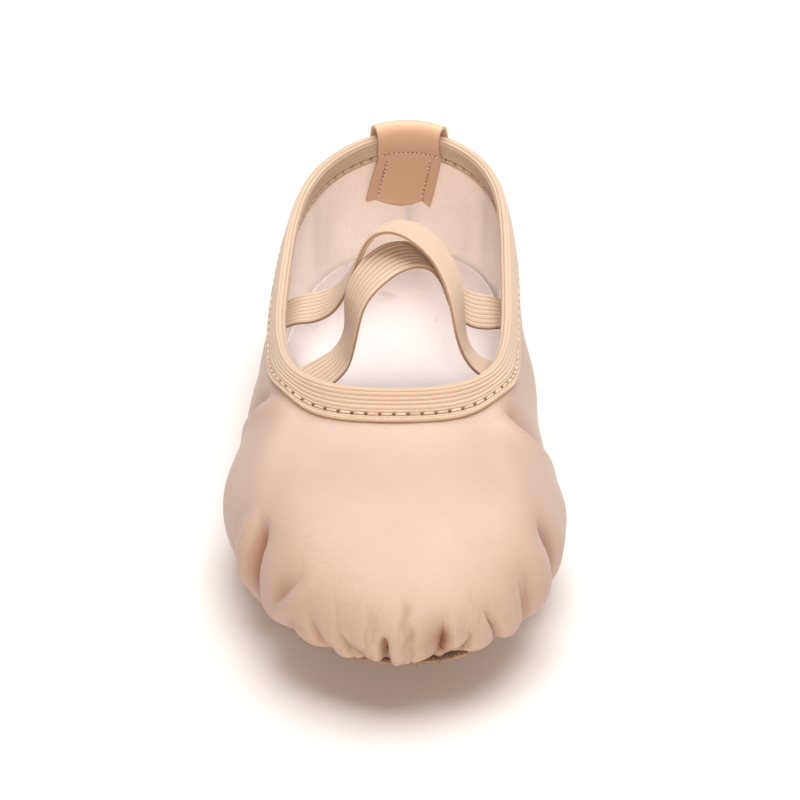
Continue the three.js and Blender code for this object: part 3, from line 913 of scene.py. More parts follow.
@dataclass(frozen=True)
class ClothFinish:
    """Plain woven cloth with a little unevenness; where a deep colour is given, the deep mark blends it in,
    partly as painted light and shade.
    """

    name: str
    light: Colour
    dark: Colour
    threads: float = 1500.0
    relief: float = 0.00005
    deep: Colour | None = None
    flecks: Colour | None = None

    def material(self) -> bpy.types.Material:
        """Builds the material.

        Returns:
            The material.
        """
        bench = NodeBench(self.name)
        place = bench.place()
        parts = bench.node("SeparateXYZ", {"Vector": place})
        waves = [
            bench.math("SINE", bench.math("MULTIPLY", parts.outputs[axis], self.threads * math.pi))
            for axis in ("X", "Y", "Z")
        ]
        weave = bench.math("ADD", waves[0], bench.math("ADD", waves[1], waves[2]))
        cloud = bench.noise(place, 55.0, 4.0)
        speck = bench.noise(place, 700.0, 2.0)
        tone = bench.weigh(cloud, speck, 0.25)
        colour = bench.ramp(tone, ((0.32, self.dark), (0.62, self.light)))
        # The deep mark blends in the deep colour: painted shade and tone on the lining, painted light on the
        # insole
        if self.deep:
            colour = bench.blend(bench.marked("deep"), colour, self.deep)
        if self.flecks:
            spots = bench.ramp(bench.noise(place, 130.0, 5.0, 0.7), ((0.6, BLACK), (0.74, WHITE)))
            colour = bench.blend(bench.math("MULTIPLY", spots, 0.7), colour, self.flecks)
        bench.bump(bench.math("ADD", bench.math("MULTIPLY", weave, 0.3), speck), self.relief, 0.6)
        return bench.dress(Base_Color=colour, Roughness=0.85, Specular_IOR_Level=0.2, Sheen_Weight=0.15)


@dataclass(frozen=True)
class SuedeFinish:
    """Napped suede with brushed patches and scuffs."""

    name: str
    light: Colour = (0.43, 0.285, 0.185)
    dark: Colour = (0.3, 0.185, 0.11)

    def material(self) -> bpy.types.Material:
        """Builds the material.

        Returns:
            The material.
        """
        bench = NodeBench(self.name)
        place = bench.place()
        patches = bench.noise(place, 60.0, 5.0, 0.65)
        nap = bench.noise(place, 1600.0, 3.0)
        tone = bench.weigh(patches, nap, 0.3)
        colour = bench.ramp(tone, ((0.35, self.dark), (0.65, self.light)))
        bench.bump(nap, 0.00018, 0.8)
        return bench.dress(Base_Color=colour, Roughness=0.95, Specular_IOR_Level=0.12, Sheen_Weight=0.4)


@dataclass(frozen=True)
class ThreadFinish:
    """Thread or fibre with a fuzzy surface."""

    name: str
    colour: Colour

    def material(self) -> bpy.types.Material:
        """Builds the material.

        Returns:
            The material.
        """
        bench = NodeBench(self.name)
        place = bench.place()
        cloud = bench.noise(place, 500.0, 2.0)
        dark = tuple(0.72 * part for part in self.colour)
        colour = bench.ramp(cloud, ((0.3, dark), (0.6, self.colour)))
        bench.bump(bench.noise(place, 5200.0, 1.0), 0.00008, 0.6)
        return bench.dress(Base_Color=colour, Roughness=0.7, Specular_IOR_Level=0.3, Sheen_Weight=0.2)


@dataclass(frozen=True)
class FloorFinish:
    """Matt pale paper with a faint mottle, paler away from the middle and bright where it is the backdrop."""

    name: str = "floor_pale"
    near: Colour = (0.765, 0.75, 0.745)
    far: Colour = (0.93, 0.92, 0.91)

    def material(self) -> bpy.types.Material:
        """Builds the material.

        Returns:
            The material.
        """
        bench = NodeBench(self.name)
        place = bench.place()
        away = bench.node("VectorMath", {"0": place}, operation="LENGTH").outputs["Value"]
        tone = bench.ramp(away, ((0.35, self.near), (0.9, self.far)))
        cloud = bench.ramp(bench.noise(place, 9.0, 3.0), ((0.3, (0.98, 0.98, 0.98)), (0.7, WHITE)))
        colour = bench.blend(1.0, tone, cloud, "MULTIPLY")
        glow = bench.ramp(away, ((0.5, BLACK), (1.0, (0.9, 0.9, 0.9))))
        bench.bump(bench.noise(place, 900.0, 3.0), 0.00003, 0.4)
        return bench.dress(
            Base_Color=colour, Roughness=0.9, Specular_IOR_Level=0.1,
            Emission_Color=glow, Emission_Strength=1.0,
        )


@dataclass
class Upper:
    """Leather sack with its lining: one wall from the hem over the rim and back down.

    Attributes:
        form: Form of the shoe.
        columns: Faces round the shoe.
        outer_rows: Rows of faces up the outer side.
        rim_rows: Rows over the rim.
        inner_rows: Rows down the inner side.
        lining_steps: Height steps up and down in which the inner side keeps clear of the deepest fold.
        bare_toe: Half the span of places, and the lower share of the inner side, that have no lining; there
            the inside shows leather painted in full shade.
        seam_depth: Depth of the seam up the heel in millimetres.
        rim_round: Height of the rounded rim in millimetres.
        shade_from: Depth in millimetres from which a fold gets painted shade.
        shade_run: Further depth in millimetres until the painted shade is darkest.
        leather: Finish of the outer side.
        lining: Finish of the inner side.
    """

    form: ShoeForm
    columns: int = 460
    outer_rows: int = 118
    rim_rows: int = 4
    inner_rows: int = 44
    lining_steps: tuple[float, ...] = (-0.03, -0.015, 0.015, 0.03)
    bare_toe: tuple[float, float] = (2.4, 0.64)
    seam_depth: float = 0.45
    rim_round: float = 0.3
    shade_from: float = 0.4
    shade_run: float = 2.2
    leather: LeatherFinish = LeatherFinish("leather_blush")
    # The deep colour of the lining is partly its tone low on the wall and partly painted shade along its
    # wrinkles
    lining: ClothFinish = ClothFinish(
        "lining_pale", (0.93, 0.86, 0.8), (0.86, 0.77, 0.7), deep=(0.72, 0.665, 0.645),
    )

    def _turns(self, share: np.ndarray) -> np.ndarray:
        """Places round the shoe, closer together at the folds.

        Args:
            share: Shares across the flat sheet.

        Returns:
            Places from heel round the toe to heel.
        """
        fine = np.linspace(-self.form.half_turn, self.form.half_turn, 4001)
        density = 1.0 + 1.2 * np.exp(-((fine / 2.8) ** 4))
        for pleat in self.form.pleats:
            wide = 0.08 + abs(pleat.high - pleat.low) / 2.0
            density += 1.5 * np.exp(-(((fine - (pleat.low + pleat.high) / 2.0) / wide) ** 2))
        for fold in self.form.creases:
            wide = 0.06 + abs(fold.end[0] - fold.start[0]) / 2.0
            density += 0.8 * np.exp(-(((fine - (fold.start[0] + fold.end[0]) / 2.0) / wide) ** 2))
        walked = np.concatenate(([0.0], np.cumsum((density[1:] + density[:-1]) / 2.0)))
        return np.interp(share, walked / walked[-1], fine)

    def _waves(
        self, count: int, turn: np.ndarray, height: np.ndarray, slant: float, start: float,
    ) -> np.ndarray:
        """Waves round the shoe that meet at the heel.

        Args:
            count: Number of waves in one round.
            turn: Places round the shoe.
            height: Height shares.
            slant: Shift of the waves with the height.
            start: Shift of the waves round the shoe.

        Returns:
            Numbers between -1 and 1.
        """
        return np.sin(2.0 * math.pi * count * turn / self.form.full_turn + slant * height + start)

    def _swell(self, turn: np.ndarray, height: np.ndarray) -> np.ndarray:
        """Low, broad unevenness of the soft leather in millimetres."""
        slow = 0.35 * self._waves(6, turn, height, 5.0, 0.0) + 0.25 * self._waves(11, turn, height, -9.0, 1.0)
        quick = 0.22 * self._waves(17, turn, height, 0.0, 3.0) * np.sin(11.0 * height + 0.7)
        return (slow + quick) * ease(0.3, 0.5, height) * (1.0 - ease(0.8, 0.97, height))

    def _slack(self, turn: np.ndarray, height: np.ndarray) -> np.ndarray:
        """Slack upright wrinkles of the lining in millimetres."""
        waves = self._waves(15, turn, height, 2.0, 0.0) + 0.7 * self._waves(26, turn, height, -3.0, 0.8)
        waves += 0.5 * self._waves(47, turn, height, 1.0, 2.0)
        sharp = np.sign(waves) * np.abs(waves) ** 1.5
        return 0.2 * sharp * ease(0.3, 0.55, height) * (1.0 - ease(0.76, 0.88, height))

    def _back_seam(self, turn: np.ndarray, stretch: np.ndarray) -> np.ndarray:
        """Share of the seam up the back of the heel, 1 in its middle."""
        away = (self.form.half_turn - np.abs(turn)) * stretch
        return np.exp(-((away / 0.6) ** 2))

    def build(self) -> bpy.types.Object:
        """Shapes the wall and dresses it.

        Returns:
            The upper.
        """
        rows = self.outer_rows + self.rim_rows + self.inner_rows
        piece = Workbench.sheet("upper_leather", self.columns, rows)
        across, up = Workbench.spread(piece)
        face_across, face_up = Workbench.face_spread(piece)
        row = up * rows
        turn = self._turns(across)
        inner_start = self.outer_rows + self.rim_rows
        height = np.where(row <= self.outer_rows, row / self.outer_rows, 1.0)
        height = np.where(row > inner_start, 1.0 - (row - inner_start) / self.inner_rows, height)
        height = np.clip(height, 0.0, 1.0)
        rim = np.clip((row - self.outer_rows) / self.rim_rows, 0.0, 1.0)
        normal, around, stretch = self.form.directions(turn, height)
        depth, shift = self.form.crease(turn, height, stretch)
        outside = row < inner_start
        for step in self.lining_steps:
            near, _ = self.form.crease(turn, np.clip(height + step, 0.0, 1.0), stretch)
            depth = np.where(outside, depth, np.maximum(depth, near))
        move = -depth - self.form.wall_at(turn, height) * (0.5 - 0.5 * np.cos(math.pi * rim))
        seam = self._back_seam(turn, stretch)
        slack = np.where(row > inner_start, self._slack(turn, height), 0.0)
        move += np.where(row <= self.outer_rows, self._swell(turn, height) - self.seam_depth * seam, slack)
        points = self.form.point(turn, height) + normal * move[:, None]
        points += around * shift[:, None]
        points[:, 2] += self.rim_round * np.sin(math.pi * rim)
        Workbench.shape(piece, points)
        # Painted shade: deeper folds get more of the leather's shade colour; the inner side gets all of it,
        # so the bare inside of the toe is painted in full shade
        fold = np.clip((depth - self.shade_from) / self.shade_run, 0.0, 1.0)
        Workbench.mark(piece, "fold", np.where(outside, fold, 1.0))
        # Deep mark of the lining: greyer low on the inner wall, towards the insole's tone; painted shade
        # along its wrinkles; darker along the heel seam
        lining_tone_and_shade = 1.0 - ease(0.25, 0.6, height) + np.clip(-1.5 * slack, 0.0, 0.6) + 0.6 * seam
        Workbench.mark(piece, "deep", np.clip(lining_tone_and_shade, 0.0, 1.0))
        crinkle = ease(0.46, 0.54, height) * (1.0 - ease(0.64, 0.75, height)) * np.exp(-((turn / 2.1) ** 4))
        Workbench.mark(piece, "crinkle", np.where(outside, crinkle, 0.0))
        piece.data.materials.append(self.leather.material())
        piece.data.materials.append(self.lining.material())
        lined = face_up * rows > self.outer_rows + self.rim_rows / 2
        low = face_up * rows > rows - self.bare_toe[1] * self.inner_rows
        slots = (lined & ~(low & (np.abs(self._turns(face_across)) < self.bare_toe[0]))).astype(int)
        piece.data.polygons.foreach_set("material_index", slots)
        Workbench.close(piece)
        Workbench.bridge(piece)
        return Workbench.seat(piece, "upper", ("upper",))


class Layer(Enum):
    """Plates under the foot."""

    OUTSOLE = "outsole"
    INSOLE = "insole"


@dataclass
class SolePlate:
    """Thin plate along the sole line, with rounded edges."""

    form: ShoeForm
    layer: Layer
    share: float
    bottom: float
    thick: float
    finish: SuedeFinish | ClothFinish
    columns: int = 260
    face_rows: int = 14
    edge_rows: int = 6

    def rung(self, turn: np.ndarray, reach: np.ndarray, up: np.ndarray) -> np.ndarray:
        """Points between the middle line and the sole edge.

        Args:
            turn: Places round the shoe.
            reach: Shares from the middle line to the edge.
            up: Heights above the sole line.

        Returns:
            Points in millimetres.
        """
        height = np.full(np.shape(turn), self.form.sole_edge)
        edge = self.form.point(turn, height)
        middle = (edge + self.form.point(-turn, height)) / 2.0
        x = middle[..., 0] + (edge[..., 0] - middle[..., 0]) * self.share * reach
        y = middle[..., 1] * self.share
        return np.stack((x, y, self.form.lift(y) + up), axis=-1)

    def _complete(self, piece: bpy.types.Object) -> bpy.types.Object:
        """Dresses a shaped plate and fixes it to the shoe.

        Args:
            piece: Shaped plate.

        Returns:
            The same plate.
        """
        piece.data.materials.append(self.finish.material())
        Workbench.close(piece)
        return Workbench.seat(piece, self.layer.value, (self.layer.value,))

    def build(self) -> bpy.types.Object:
        """Shapes the plate and dresses it.

        Returns:
            The plate.
        """
        rows = 2 * self.face_rows + self.edge_rows
        piece = Workbench.sheet(f"{self.layer.value}_plate", self.columns, rows)
        across, up = Workbench.spread(piece)
        row = up * rows
        turn = (across - 0.5) * self.form.full_turn
        under = row <= self.face_rows
        over = row >= self.face_rows + self.edge_rows
        bend = np.clip((row - self.face_rows) / self.edge_rows, 0.0, 1.0) * math.pi
        radius = self.thick / 2.0
        reach = np.where(under, row / self.face_rows, np.where(over, (rows - row) / self.face_rows, 1.0))
        points = self.rung(turn, reach, self.bottom + radius - radius * np.cos(bend))
        swell = radius * 0.6 * (np.sin(bend) - 1.0) * np.clip(reach * 4.0, 0.0, 1.0)
        points[:, 0] += swell * np.clip(8.0 * np.sin(turn * math.pi / self.form.half_turn), -1.0, 1.0)
        Workbench.shape(piece, points)
        return self._complete(piece)


@dataclass
class CuppedInsole(SolePlate):
    """Insole whose edge climbs the inside of the wall, highest along the sides and round the heel.

    Attributes:
        cup_rows: Rows of faces up the wall.
        low: Height share that the edge reaches in the toe.
        high: Height share that it reaches further back.
        gap: Distance from the wall in millimetres.
    """

    cup_rows: int = 18
    low: float = 0.215
    high: float = 0.535
    gap: float = 0.45

    def climb(self, turn: np.ndarray, way: np.ndarray, inside: np.ndarray) -> np.ndarray:
        """Points of the part that lies on the wall.

        Args:
            turn: Places round the shoe.
            way: Shares of the way up the wall.
            inside: Shares of the thickness, 0 on the side of the wall and 1 on the side of the foot.

        Returns:
            Points in millimetres.
        """
        top = self.low + (self.high - self.low) * ease(3.4, 5.4, np.abs(turn))
        height = self.form.sole_edge + (top - self.form.sole_edge) * way
        deep = self.form.wall_at(turn, height) + self.gap + inside * (self.thick - 0.6 * way)
        return self.form.skin(turn, height, -deep)

    def build(self) -> bpy.types.Object:
        """Shapes the insole and dresses it.

        Returns:
            The insole.
        """
        half = self.face_rows + self.cup_rows
        rows = 2 * half + self.edge_rows
        piece = Workbench.sheet(f"{self.layer.value}_plate", self.columns, rows)
        across, up = Workbench.spread(piece)
        row = up * rows
        turn = (across - 0.5) * self.form.full_turn
        bend = np.clip((row - half) / self.edge_rows, 0.0, 1.0)
        inside = 0.5 - 0.5 * np.cos(math.pi * bend)
        step = np.minimum(row, rows - row)
        reach = np.clip(step / self.face_rows, 0.0, 1.0)
        flat = self.rung(turn, reach, self.bottom + self.thick * inside)
        wall = self.climb(turn, np.clip((step - self.face_rows) / self.cup_rows, 0.0, 1.0), inside)
        wall[:, 2] += 0.4 * np.sin(math.pi * bend)
        points = np.where((step > self.face_rows)[:, None], wall, flat)
        Workbench.shape(piece, points)
        # Painted light: the middle of the floor ahead of the heel, which the lamps reach directly, gets the
        # darker deep colour, so the shaded wall and heel are painted paler
        lit_floor_share = 1.0 - ease(0.35, 1.6, step / self.face_rows)
        Workbench.mark(piece, "deep", 0.85 * lit_floor_share * (1.0 - ease(20.0, 80.0, points[:, 1])))
        return self._complete(piece)


@dataclass
class SoleFringe:
    """Ragged suede edge of the sole, sewn under the gathered toe."""

    form: ShoeForm
    finish: SuedeFinish
    reach: tuple[tuple[float, float], ...] = (
        (-1.9, 0.23), (-1.0, 0.35), (-0.8, 0.4), (-0.5, 0.452),
        (0.5, 0.452), (0.8, 0.4), (1.0, 0.35), (1.8, 0.23),
    )
    foot: float = 0.18
    columns: int = 360
    rows: int = 10
    thick: float = 0.4
    stand: float = 0.35
    curl: float = 0.3
    seed: int = 7

    def edge(self, turn: np.ndarray) -> np.ndarray:
        """Height shares of the ragged edge.

        Args:
            turn: Places round the shoe.

        Returns:
            One height share for each place.
        """
        torn = 0.006 * np.sin(23.0 * turn) + 0.005 * np.sin(57.0 * turn + 1.0) + 0.004 * np.sin(131.0 * turn)
        return read_rows(self.reach, turn) + torn

    def place(self, turn: np.ndarray, up: np.ndarray) -> np.ndarray:
        """Points of the strip from its sewn edge to its ragged edge.

        Args:
            turn: Places round the shoe.
            up: Shares from the sewn edge to the ragged edge.

        Returns:
            Points in millimetres.
        """
        height = self.foot + (self.edge(turn) - self.foot) * up
        normal, _, _ = self.form.directions(turn, height)
        stand = self.stand * np.clip(4.0 * up, 0.0, 1.0) + self.curl * up ** 4
        return self.form.point(turn, height) + normal * stand[..., None]

    def fibres(self, count: int = 420) -> tuple[np.ndarray, np.ndarray, np.ndarray]:
        """Loose fibres along the ragged edge.

        Args:
            count: Number of fibres.

        Returns:
            First ends, second ends and outward directions.
        """
        chance = np.random.default_rng(self.seed)
        turn = chance.uniform(self.reach[1][0] - 0.3, self.reach[-2][0] + 0.2, count)
        up = chance.uniform(0.9, 1.0, count)
        starts = self.place(turn, up)
        normal, around, _ = self.form.directions(turn, self.edge(turn))
        upward = np.cross(normal, around)
        lean = unit(
            upward * chance.uniform(0.3, 1.0, (count, 1))
            + around * chance.normal(0.0, 0.9, (count, 1))
            + normal * chance.normal(0.1, 0.3, (count, 1))
        )
        return starts, starts + lean * chance.uniform(0.5, 1.5, (count, 1)), normal

    def build(self) -> bpy.types.Object:
        """Shapes the strip, gives it thickness and dresses it.

        Returns:
            The fringe.
        """
        piece = Workbench.sheet("sole_fringe", self.columns, self.rows)
        across, up = Workbench.spread(piece)
        first, last = self.reach[0][0], self.reach[-1][0]
        Workbench.shape(piece, self.place(first + (last - first) * across, up))
        piece.data.materials.append(self.finish.material())
        Workbench.close(piece)
        Workbench.thicken(piece, self.thick, 0.0)
        return Workbench.seat(piece, "outsole")


# Places round the shoe where each strap is sewn in, its front end first
UNDER_ENDS = (-4.62, 5.79)
OVER_ENDS = (4.7, -5.81)


@dataclass
class CollarBinding:
    """Ribbed elastic folded over the rim, with its stitched groove."""

    form: ShoeForm
    thick: float = 0.8
    outer: float = 7.2
    inner: float = 7.2
    seat: float = 0.08
    rib_pitch: float = 1.05
    rib_height: float = 0.22
    stitches: int = 98
    per_stitch: int = 5
    stitch_drop: float = 5.2
    stitch_run: float = 3.4
    groove_depth: float = 0.4
    hole_depth: float = 0.5
    edge_roll: float = 0.5
    tucks: tuple[float, ...] = (*UNDER_ENDS, *OVER_ENDS)
    tuck_height: float = 1.15
    tuck_half: float = 7.6
    rim_stretch: float = 26.0
    corners: tuple[tuple[float, float], ...] = ((-3.5, 0.24), (3.3, 0.16))
    # The groove colour is painted shade between the ribs
    finish: ElasticFinish = ElasticFinish(
        "elastic_binding", ridge=(0.55, 0.445, 0.345), groove=(0.26, 0.145, 0.076), pitch=620.0,
    )

    @property
    def inner_stitch_drop(self) -> float:
        """Distance of the inner stitches below the rim."""
        return self.inner - 1.6

    def profile(self) -> dict[str, np.ndarray]:
        """Rows of the folded section, from the outer hem over the rim to the inner hem and back.

        Returns:
            Drop, offset, rise, lean, run and face of each row.
        """
        radius = self.form.rim_wall / 2.0 + self.seat + self.thick
        centre = -self.form.rim_wall / 2.0
        outer_rows = np.linspace(self.outer, 0.0, 52)
        bend = np.linspace(0.0, math.pi, 26)[1:-1]
        inner_rows = np.linspace(0.0, self.inner, 42)
        face = [(d, centre + radius, 0.0, 0.0) for d in outer_rows]
        face += [(0.0, centre + radius * math.cos(b), 0.85 * radius * math.sin(b), b) for b in bend]
        face += [(d, centre - radius, 0.0, math.pi) for d in inner_rows]
        near = radius - self.thick
        back = [(d, centre - near, 0.0, math.pi) for d in np.linspace(self.inner, 0.0, 5)]
        back += [(0.0, centre + near * math.cos(b), 0.7 * near * math.sin(b), b) for b in (2.4, 1.57, 0.75)]
        back += [(d, centre + near, 0.0, 0.0) for d in np.linspace(0.0, self.outer, 6)]
        rows = np.array(face + back + face[:1])
        run = np.concatenate((
            self.outer - outer_rows,
            self.outer + radius * bend,
            self.outer + math.pi * radius + inner_rows,
            np.zeros(len(back) + 1),
        ))
        is_face = np.concatenate((np.ones(len(face)), np.zeros(len(back)), np.ones(1)))
        keys = ("drop", "offset", "rise", "lean")
        table = {key: rows[:, k] for k, key in enumerate(keys)}
        return {**table, "run": run, "face": is_face}

    def tuck(self, turn: np.ndarray, drop: np.ndarray) -> np.ndarray:
        """How far the inner leaf stands off the wall over the strap ends.

        Args:
            turn: Places round the shoe.
            drop: Distances below the rim.

        Returns:
            Distances in millimetres.
        """
        out = np.zeros(np.shape(turn))
        for place in self.tucks:
            gap = turn - place
            gap = (gap - self.form.full_turn * np.round(gap / self.form.full_turn)) * self.rim_stretch
            out += self.tuck_height * np.exp(-((gap / self.tuck_half) ** 6)) * ease(0.0, 4.0, drop)
        return out

    def leaf_share(self, turn: np.ndarray) -> np.ndarray:
        """Width of the outer leaf as a share of its full width, less at the corners of the throat."""
        places = self.form.wrapped(turn)
        return 1.0 - sum(less * np.exp(-(((places - corner) / 0.9) ** 2)) for corner, less in self.corners)

    def wall_growth(self, turn: np.ndarray, drop: np.ndarray) -> np.ndarray:
        """How much thicker the wall is below the rim than at the rim."""
        return self.form.wall_at(turn, self.form.height_below_rim(turn, drop)) - self.form.rim_wall

    def stitch_places(self) -> np.ndarray:
        """Places round the shoe of the needle holes, evenly spaced along the stitch line.

        Returns:
            One place for each hole, the first one again at the end.
        """
        fine = np.linspace(0.0, self.form.full_turn, 2001)
        height = self.form.height_below_rim(fine, np.full(fine.shape, self.stitch_drop))
        return even_places(fine, self.form.point(fine, height), self.stitches)

    def build(self) -> bpy.types.Object:
        """Shapes the band and dresses it.

        Returns:
            The binding.
        """
        table = self.profile()
        rows = len(table["drop"]) - 1
        columns = self.stitches * self.per_stitch
        piece = Workbench.sheet("binding_elastic", columns, rows)
        across, up = Workbench.spread(piece)
        row = np.rint(up * rows).astype(int)
        holes = self.stitch_places()
        steps = across * self.stitches
        turn = np.interp(steps, np.arange(self.stitches + 1), holes)
        drop, offset, lean = table["drop"][row], table["offset"][row], table["lean"][row]
        inside = lean > math.pi / 2
        offset = offset - np.where(inside, self.tuck(turn, drop) + self.wall_growth(turn, drop), 0.0)
        along = drop * np.where(inside, 1.0, self.leaf_share(turn))
        points, normal, upward = self.form.beside_rim(turn, along, offset, table["rise"][row])
        ribs = np.abs(np.sin(math.pi * table["run"][row] / self.rib_pitch)) ** 0.8
        line = np.where(inside, self.inner_stitch_drop, self.stitch_drop)
        groove = np.exp(-(((drop - line) / 0.6) ** 2)) * (drop > 0.1)
        beside = (steps - np.round(steps)) * self.stitch_run
        hole = np.exp(-((beside / 0.55) ** 2)) * np.exp(-(((drop - line) / 0.42) ** 2))
        hole = hole * (drop > 0.1) * table["face"][row]
        edge = np.where(inside, self.inner, self.outer) - drop
        roll = self.edge_roll * np.exp(-np.clip(edge, 0.0, None) / 0.35) * (drop > 0.1)
        bulk = self.rib_height * ribs - self.groove_depth * groove - self.hole_depth * hole - roll
        move = bulk * table["face"][row]
        direction = normal * np.cos(lean)[:, None] + upward * np.sin(lean)[:, None]
        Workbench.shape(piece, points + direction * move[:, None])
        # Painted shade: the rib mark, lowered along the stitched groove, darkens the grooves; the hole mark
        # darkens the needle holes
        Workbench.mark(piece, "rib", np.clip(ribs * (1.0 - 0.35 * groove), 0.0, 1.0))
        Workbench.mark(piece, "hole", np.clip(1.25 * hole, 0.0, 1.0))
        piece.data.materials.append(self.finish.material())
        Workbench.close(piece)
        return Workbench.seat(piece, "collar_binding", ("collar_binding",))


class Spline:
    """Smooth curve through rows of numbers, spaced by the roots of the distances between them."""

    def __init__(self, points: np.ndarray) -> None:
        """Fits the curve.

        Args:
            points: Points or any rows of numbers to pass through.
        """
        self.points = points
        chords = np.sqrt(np.linalg.norm(np.diff(points[:, :3], axis=0), axis=-1))
        self.knots = np.concatenate(([0.0], np.cumsum(chords)))
        count = len(points)
        gaps = np.diff(self.knots)
        matrix = np.eye(count)
        right = np.zeros_like(points)
        for k in range(1, count - 1):
            matrix[k, k - 1:k + 2] = (gaps[k - 1], 2.0 * (gaps[k - 1] + gaps[k]), gaps[k])
            ahead = (points[k + 1] - points[k]) / gaps[k]
            behind = (points[k] - points[k - 1]) / gaps[k - 1]
            right[k] = 6.0 * (ahead - behind)
        self.bend = np.linalg.solve(matrix, right)

    def at(self, share: np.ndarray) -> np.ndarray:
        """Rows of numbers at shares of the curve.

        Args:
            share: Shares from 0 at the start to 1 at the end.

        Returns:
            One row for each share.
        """
        place = np.clip(share, 0.0, 1.0) * self.knots[-1]
        k = np.clip(np.searchsorted(self.knots, place, side="right") - 1, 0, len(self.knots) - 2)
        gap = (self.knots[k + 1] - self.knots[k])[..., None]
        a = (self.knots[k + 1] - place)[..., None] / gap
        b = 1.0 - a
        curve = ((a ** 3 - a) * self.bend[k] + (b ** 3 - b) * self.bend[k + 1]) * gap ** 2 / 6.0
        return a * self.points[k] + b * self.points[k + 1] + curve


# Middle of the band in millimetres, then the sideways and the upward part of its width direction
Station = tuple[float, float, float, float, float]

UNDER_STATIONS: tuple[Station, ...] = (
    (-26.6, 0.6, 25.6, -0.36, 0.08),
    (-22.2, 2.4, 25.2, -0.5, 0.02),
    (-17.8, 4.8, 26.8, -0.55, -0.06),
    (-13.6, 7.7, 29.4, -0.37, -0.21),
    (-11.0, 10.6, 35.0, -0.25, -0.35),
    (-9.9, 13.5, 41.6, -0.43, -0.32),
    (-6.6, 16.7, 46.5, -0.54, -0.08),
    (-0.1, 21.9, 49.4, -0.43, 0.11),
    (6.6, 24.7, 47.8, -0.26, 0.04),
    (11.4, 26.0, 42.0, -0.07, 0.06),
    (14.4, 27.1, 35.4, 0.02, 0.22),
    (18.4, 28.4, 31.2, -0.02, 0.31),
    (22.6, 29.6, 29.7, -0.06, 0.28),
    (26.4, 30.4, 28.6, -0.06, 0.14),
)
OVER_STATIONS: tuple[Station, ...] = (
    (26.7, 2.2, 26.9, 0.06, -0.1),
    (22.4, 3.0, 28.6, 0.2, -0.24),
    (18.6, 4.4, 30.9, 0.16, -0.32),
    (15.9, 6.8, 35.6, 0.16, -0.4),
    (14.7, 10.6, 42.4, 0.27, -0.48),
    (12.4, 16.2, 48.8, 0.43, -0.5),
    (7.8, 21.6, 53.2, 0.47, -0.36),
    (2.2, 25.6, 55.2, 0.42, -0.25),
    (-3.2, 27.5, 54.1, 0.3, -0.22),
    (-7.3, 28.5, 49.5, 0.18, -0.15),
    (-9.9, 29.0, 43.2, 0.15, -0.02),
    (-12.6, 29.1, 37.4, 0.14, 0.1),
    (-16.4, 29.7, 32.5, 0.11, 0.15),
    (-21.2, 30.8, 30.0, 0.06, 0.16),
    (-25.6, 31.1, 28.8, 0.04, 0.1),
)


@dataclass
class Strap:
    """Ribbed elastic band whose ends are tucked under the binding."""

    form: ShoeForm
    node: str
    front: float
    back: float
    stations: tuple[Station, ...]
    finish: ElasticFinish
    width: float = 12.0
    thick: float = 1.1
    ribs: int = 8
    rib_height: float = 0.2
    columns: int = 190
    face_rows: int = 64
    stand_off: float = 0.75
    drops: tuple[float, ...] = (4.5, 8.0, 11.4)

    def _wall_rows(self, turn: float) -> np.ndarray:
        """Stations where one end lies on the inner wall.

        Args:
            turn: Place of the end round the shoe.

        Returns:
            Rows of place and width direction, top first.
        """
        places = np.full(len(self.drops), turn)
        height = self.form.height_below_rim(places, np.array(self.drops))
        points = self.form.skin(places, height, -self.form.wall - self.stand_off)
        _, around, _ = self.form.directions(places, height)
        return np.concatenate((points, around * np.sign(around[:, 1:2])), axis=1)

    def path(self) -> Spline:
        """Middle line and width direction from end to end."""
        free = np.array([
            (x, y, z, wx, math.sqrt(1.0 - wx * wx - wz * wz), wz) for x, y, z, wx, wz in self.stations
        ])
        return Spline(np.concatenate((self._wall_rows(self.front), free, self._wall_rows(self.back)[::-1])))

    def build(self) -> bpy.types.Object:
        """Shapes the band and dresses it.

        Returns:
            The strap.
        """
        rows = 2 * self.face_rows
        piece = Workbench.sheet(f"{self.node}_elastic", self.columns, rows)
        share, up = Workbench.spread(piece)
        path = self.path()
        here = path.at(share)
        ahead = path.at(share + 0.002)[:, :3] - path.at(share - 0.002)[:, :3]
        along = unit(ahead)
        wide = here[:, 3:]
        wide = unit(wide - along * np.sum(wide * along, axis=1, keepdims=True))
        out = np.cross(along, wide)
        side = np.where(up < 0.5, 1.0, -1.0)
        across = np.where(up < 0.5, 2.0 * up, 2.0 - 2.0 * up) - 0.5
        rib = np.abs(np.sin(math.pi * self.ribs * (across + 0.5))) ** 0.8
        edge = np.sqrt(np.clip(1.0 - np.abs(2.0 * across) ** 14, 0.0, 1.0))
        bulk = (self.thick / 2.0 + self.rib_height * (rib - 0.5)) * edge
        points = here[:, :3] + wide * (across * self.width)[:, None] + out * (side * bulk)[:, None]
        Workbench.shape(piece, points)
        # Painted shade: the rib mark darkens the grooves and the rounded edges of the band
        Workbench.mark(piece, "rib", np.clip(rib * (0.4 + 0.6 * edge), 0.0, 1.0))
        piece.data.materials.append(self.finish.material())
        Workbench.close(piece, fill=True)
        return Workbench.seat(piece, "strap", (self.node,))


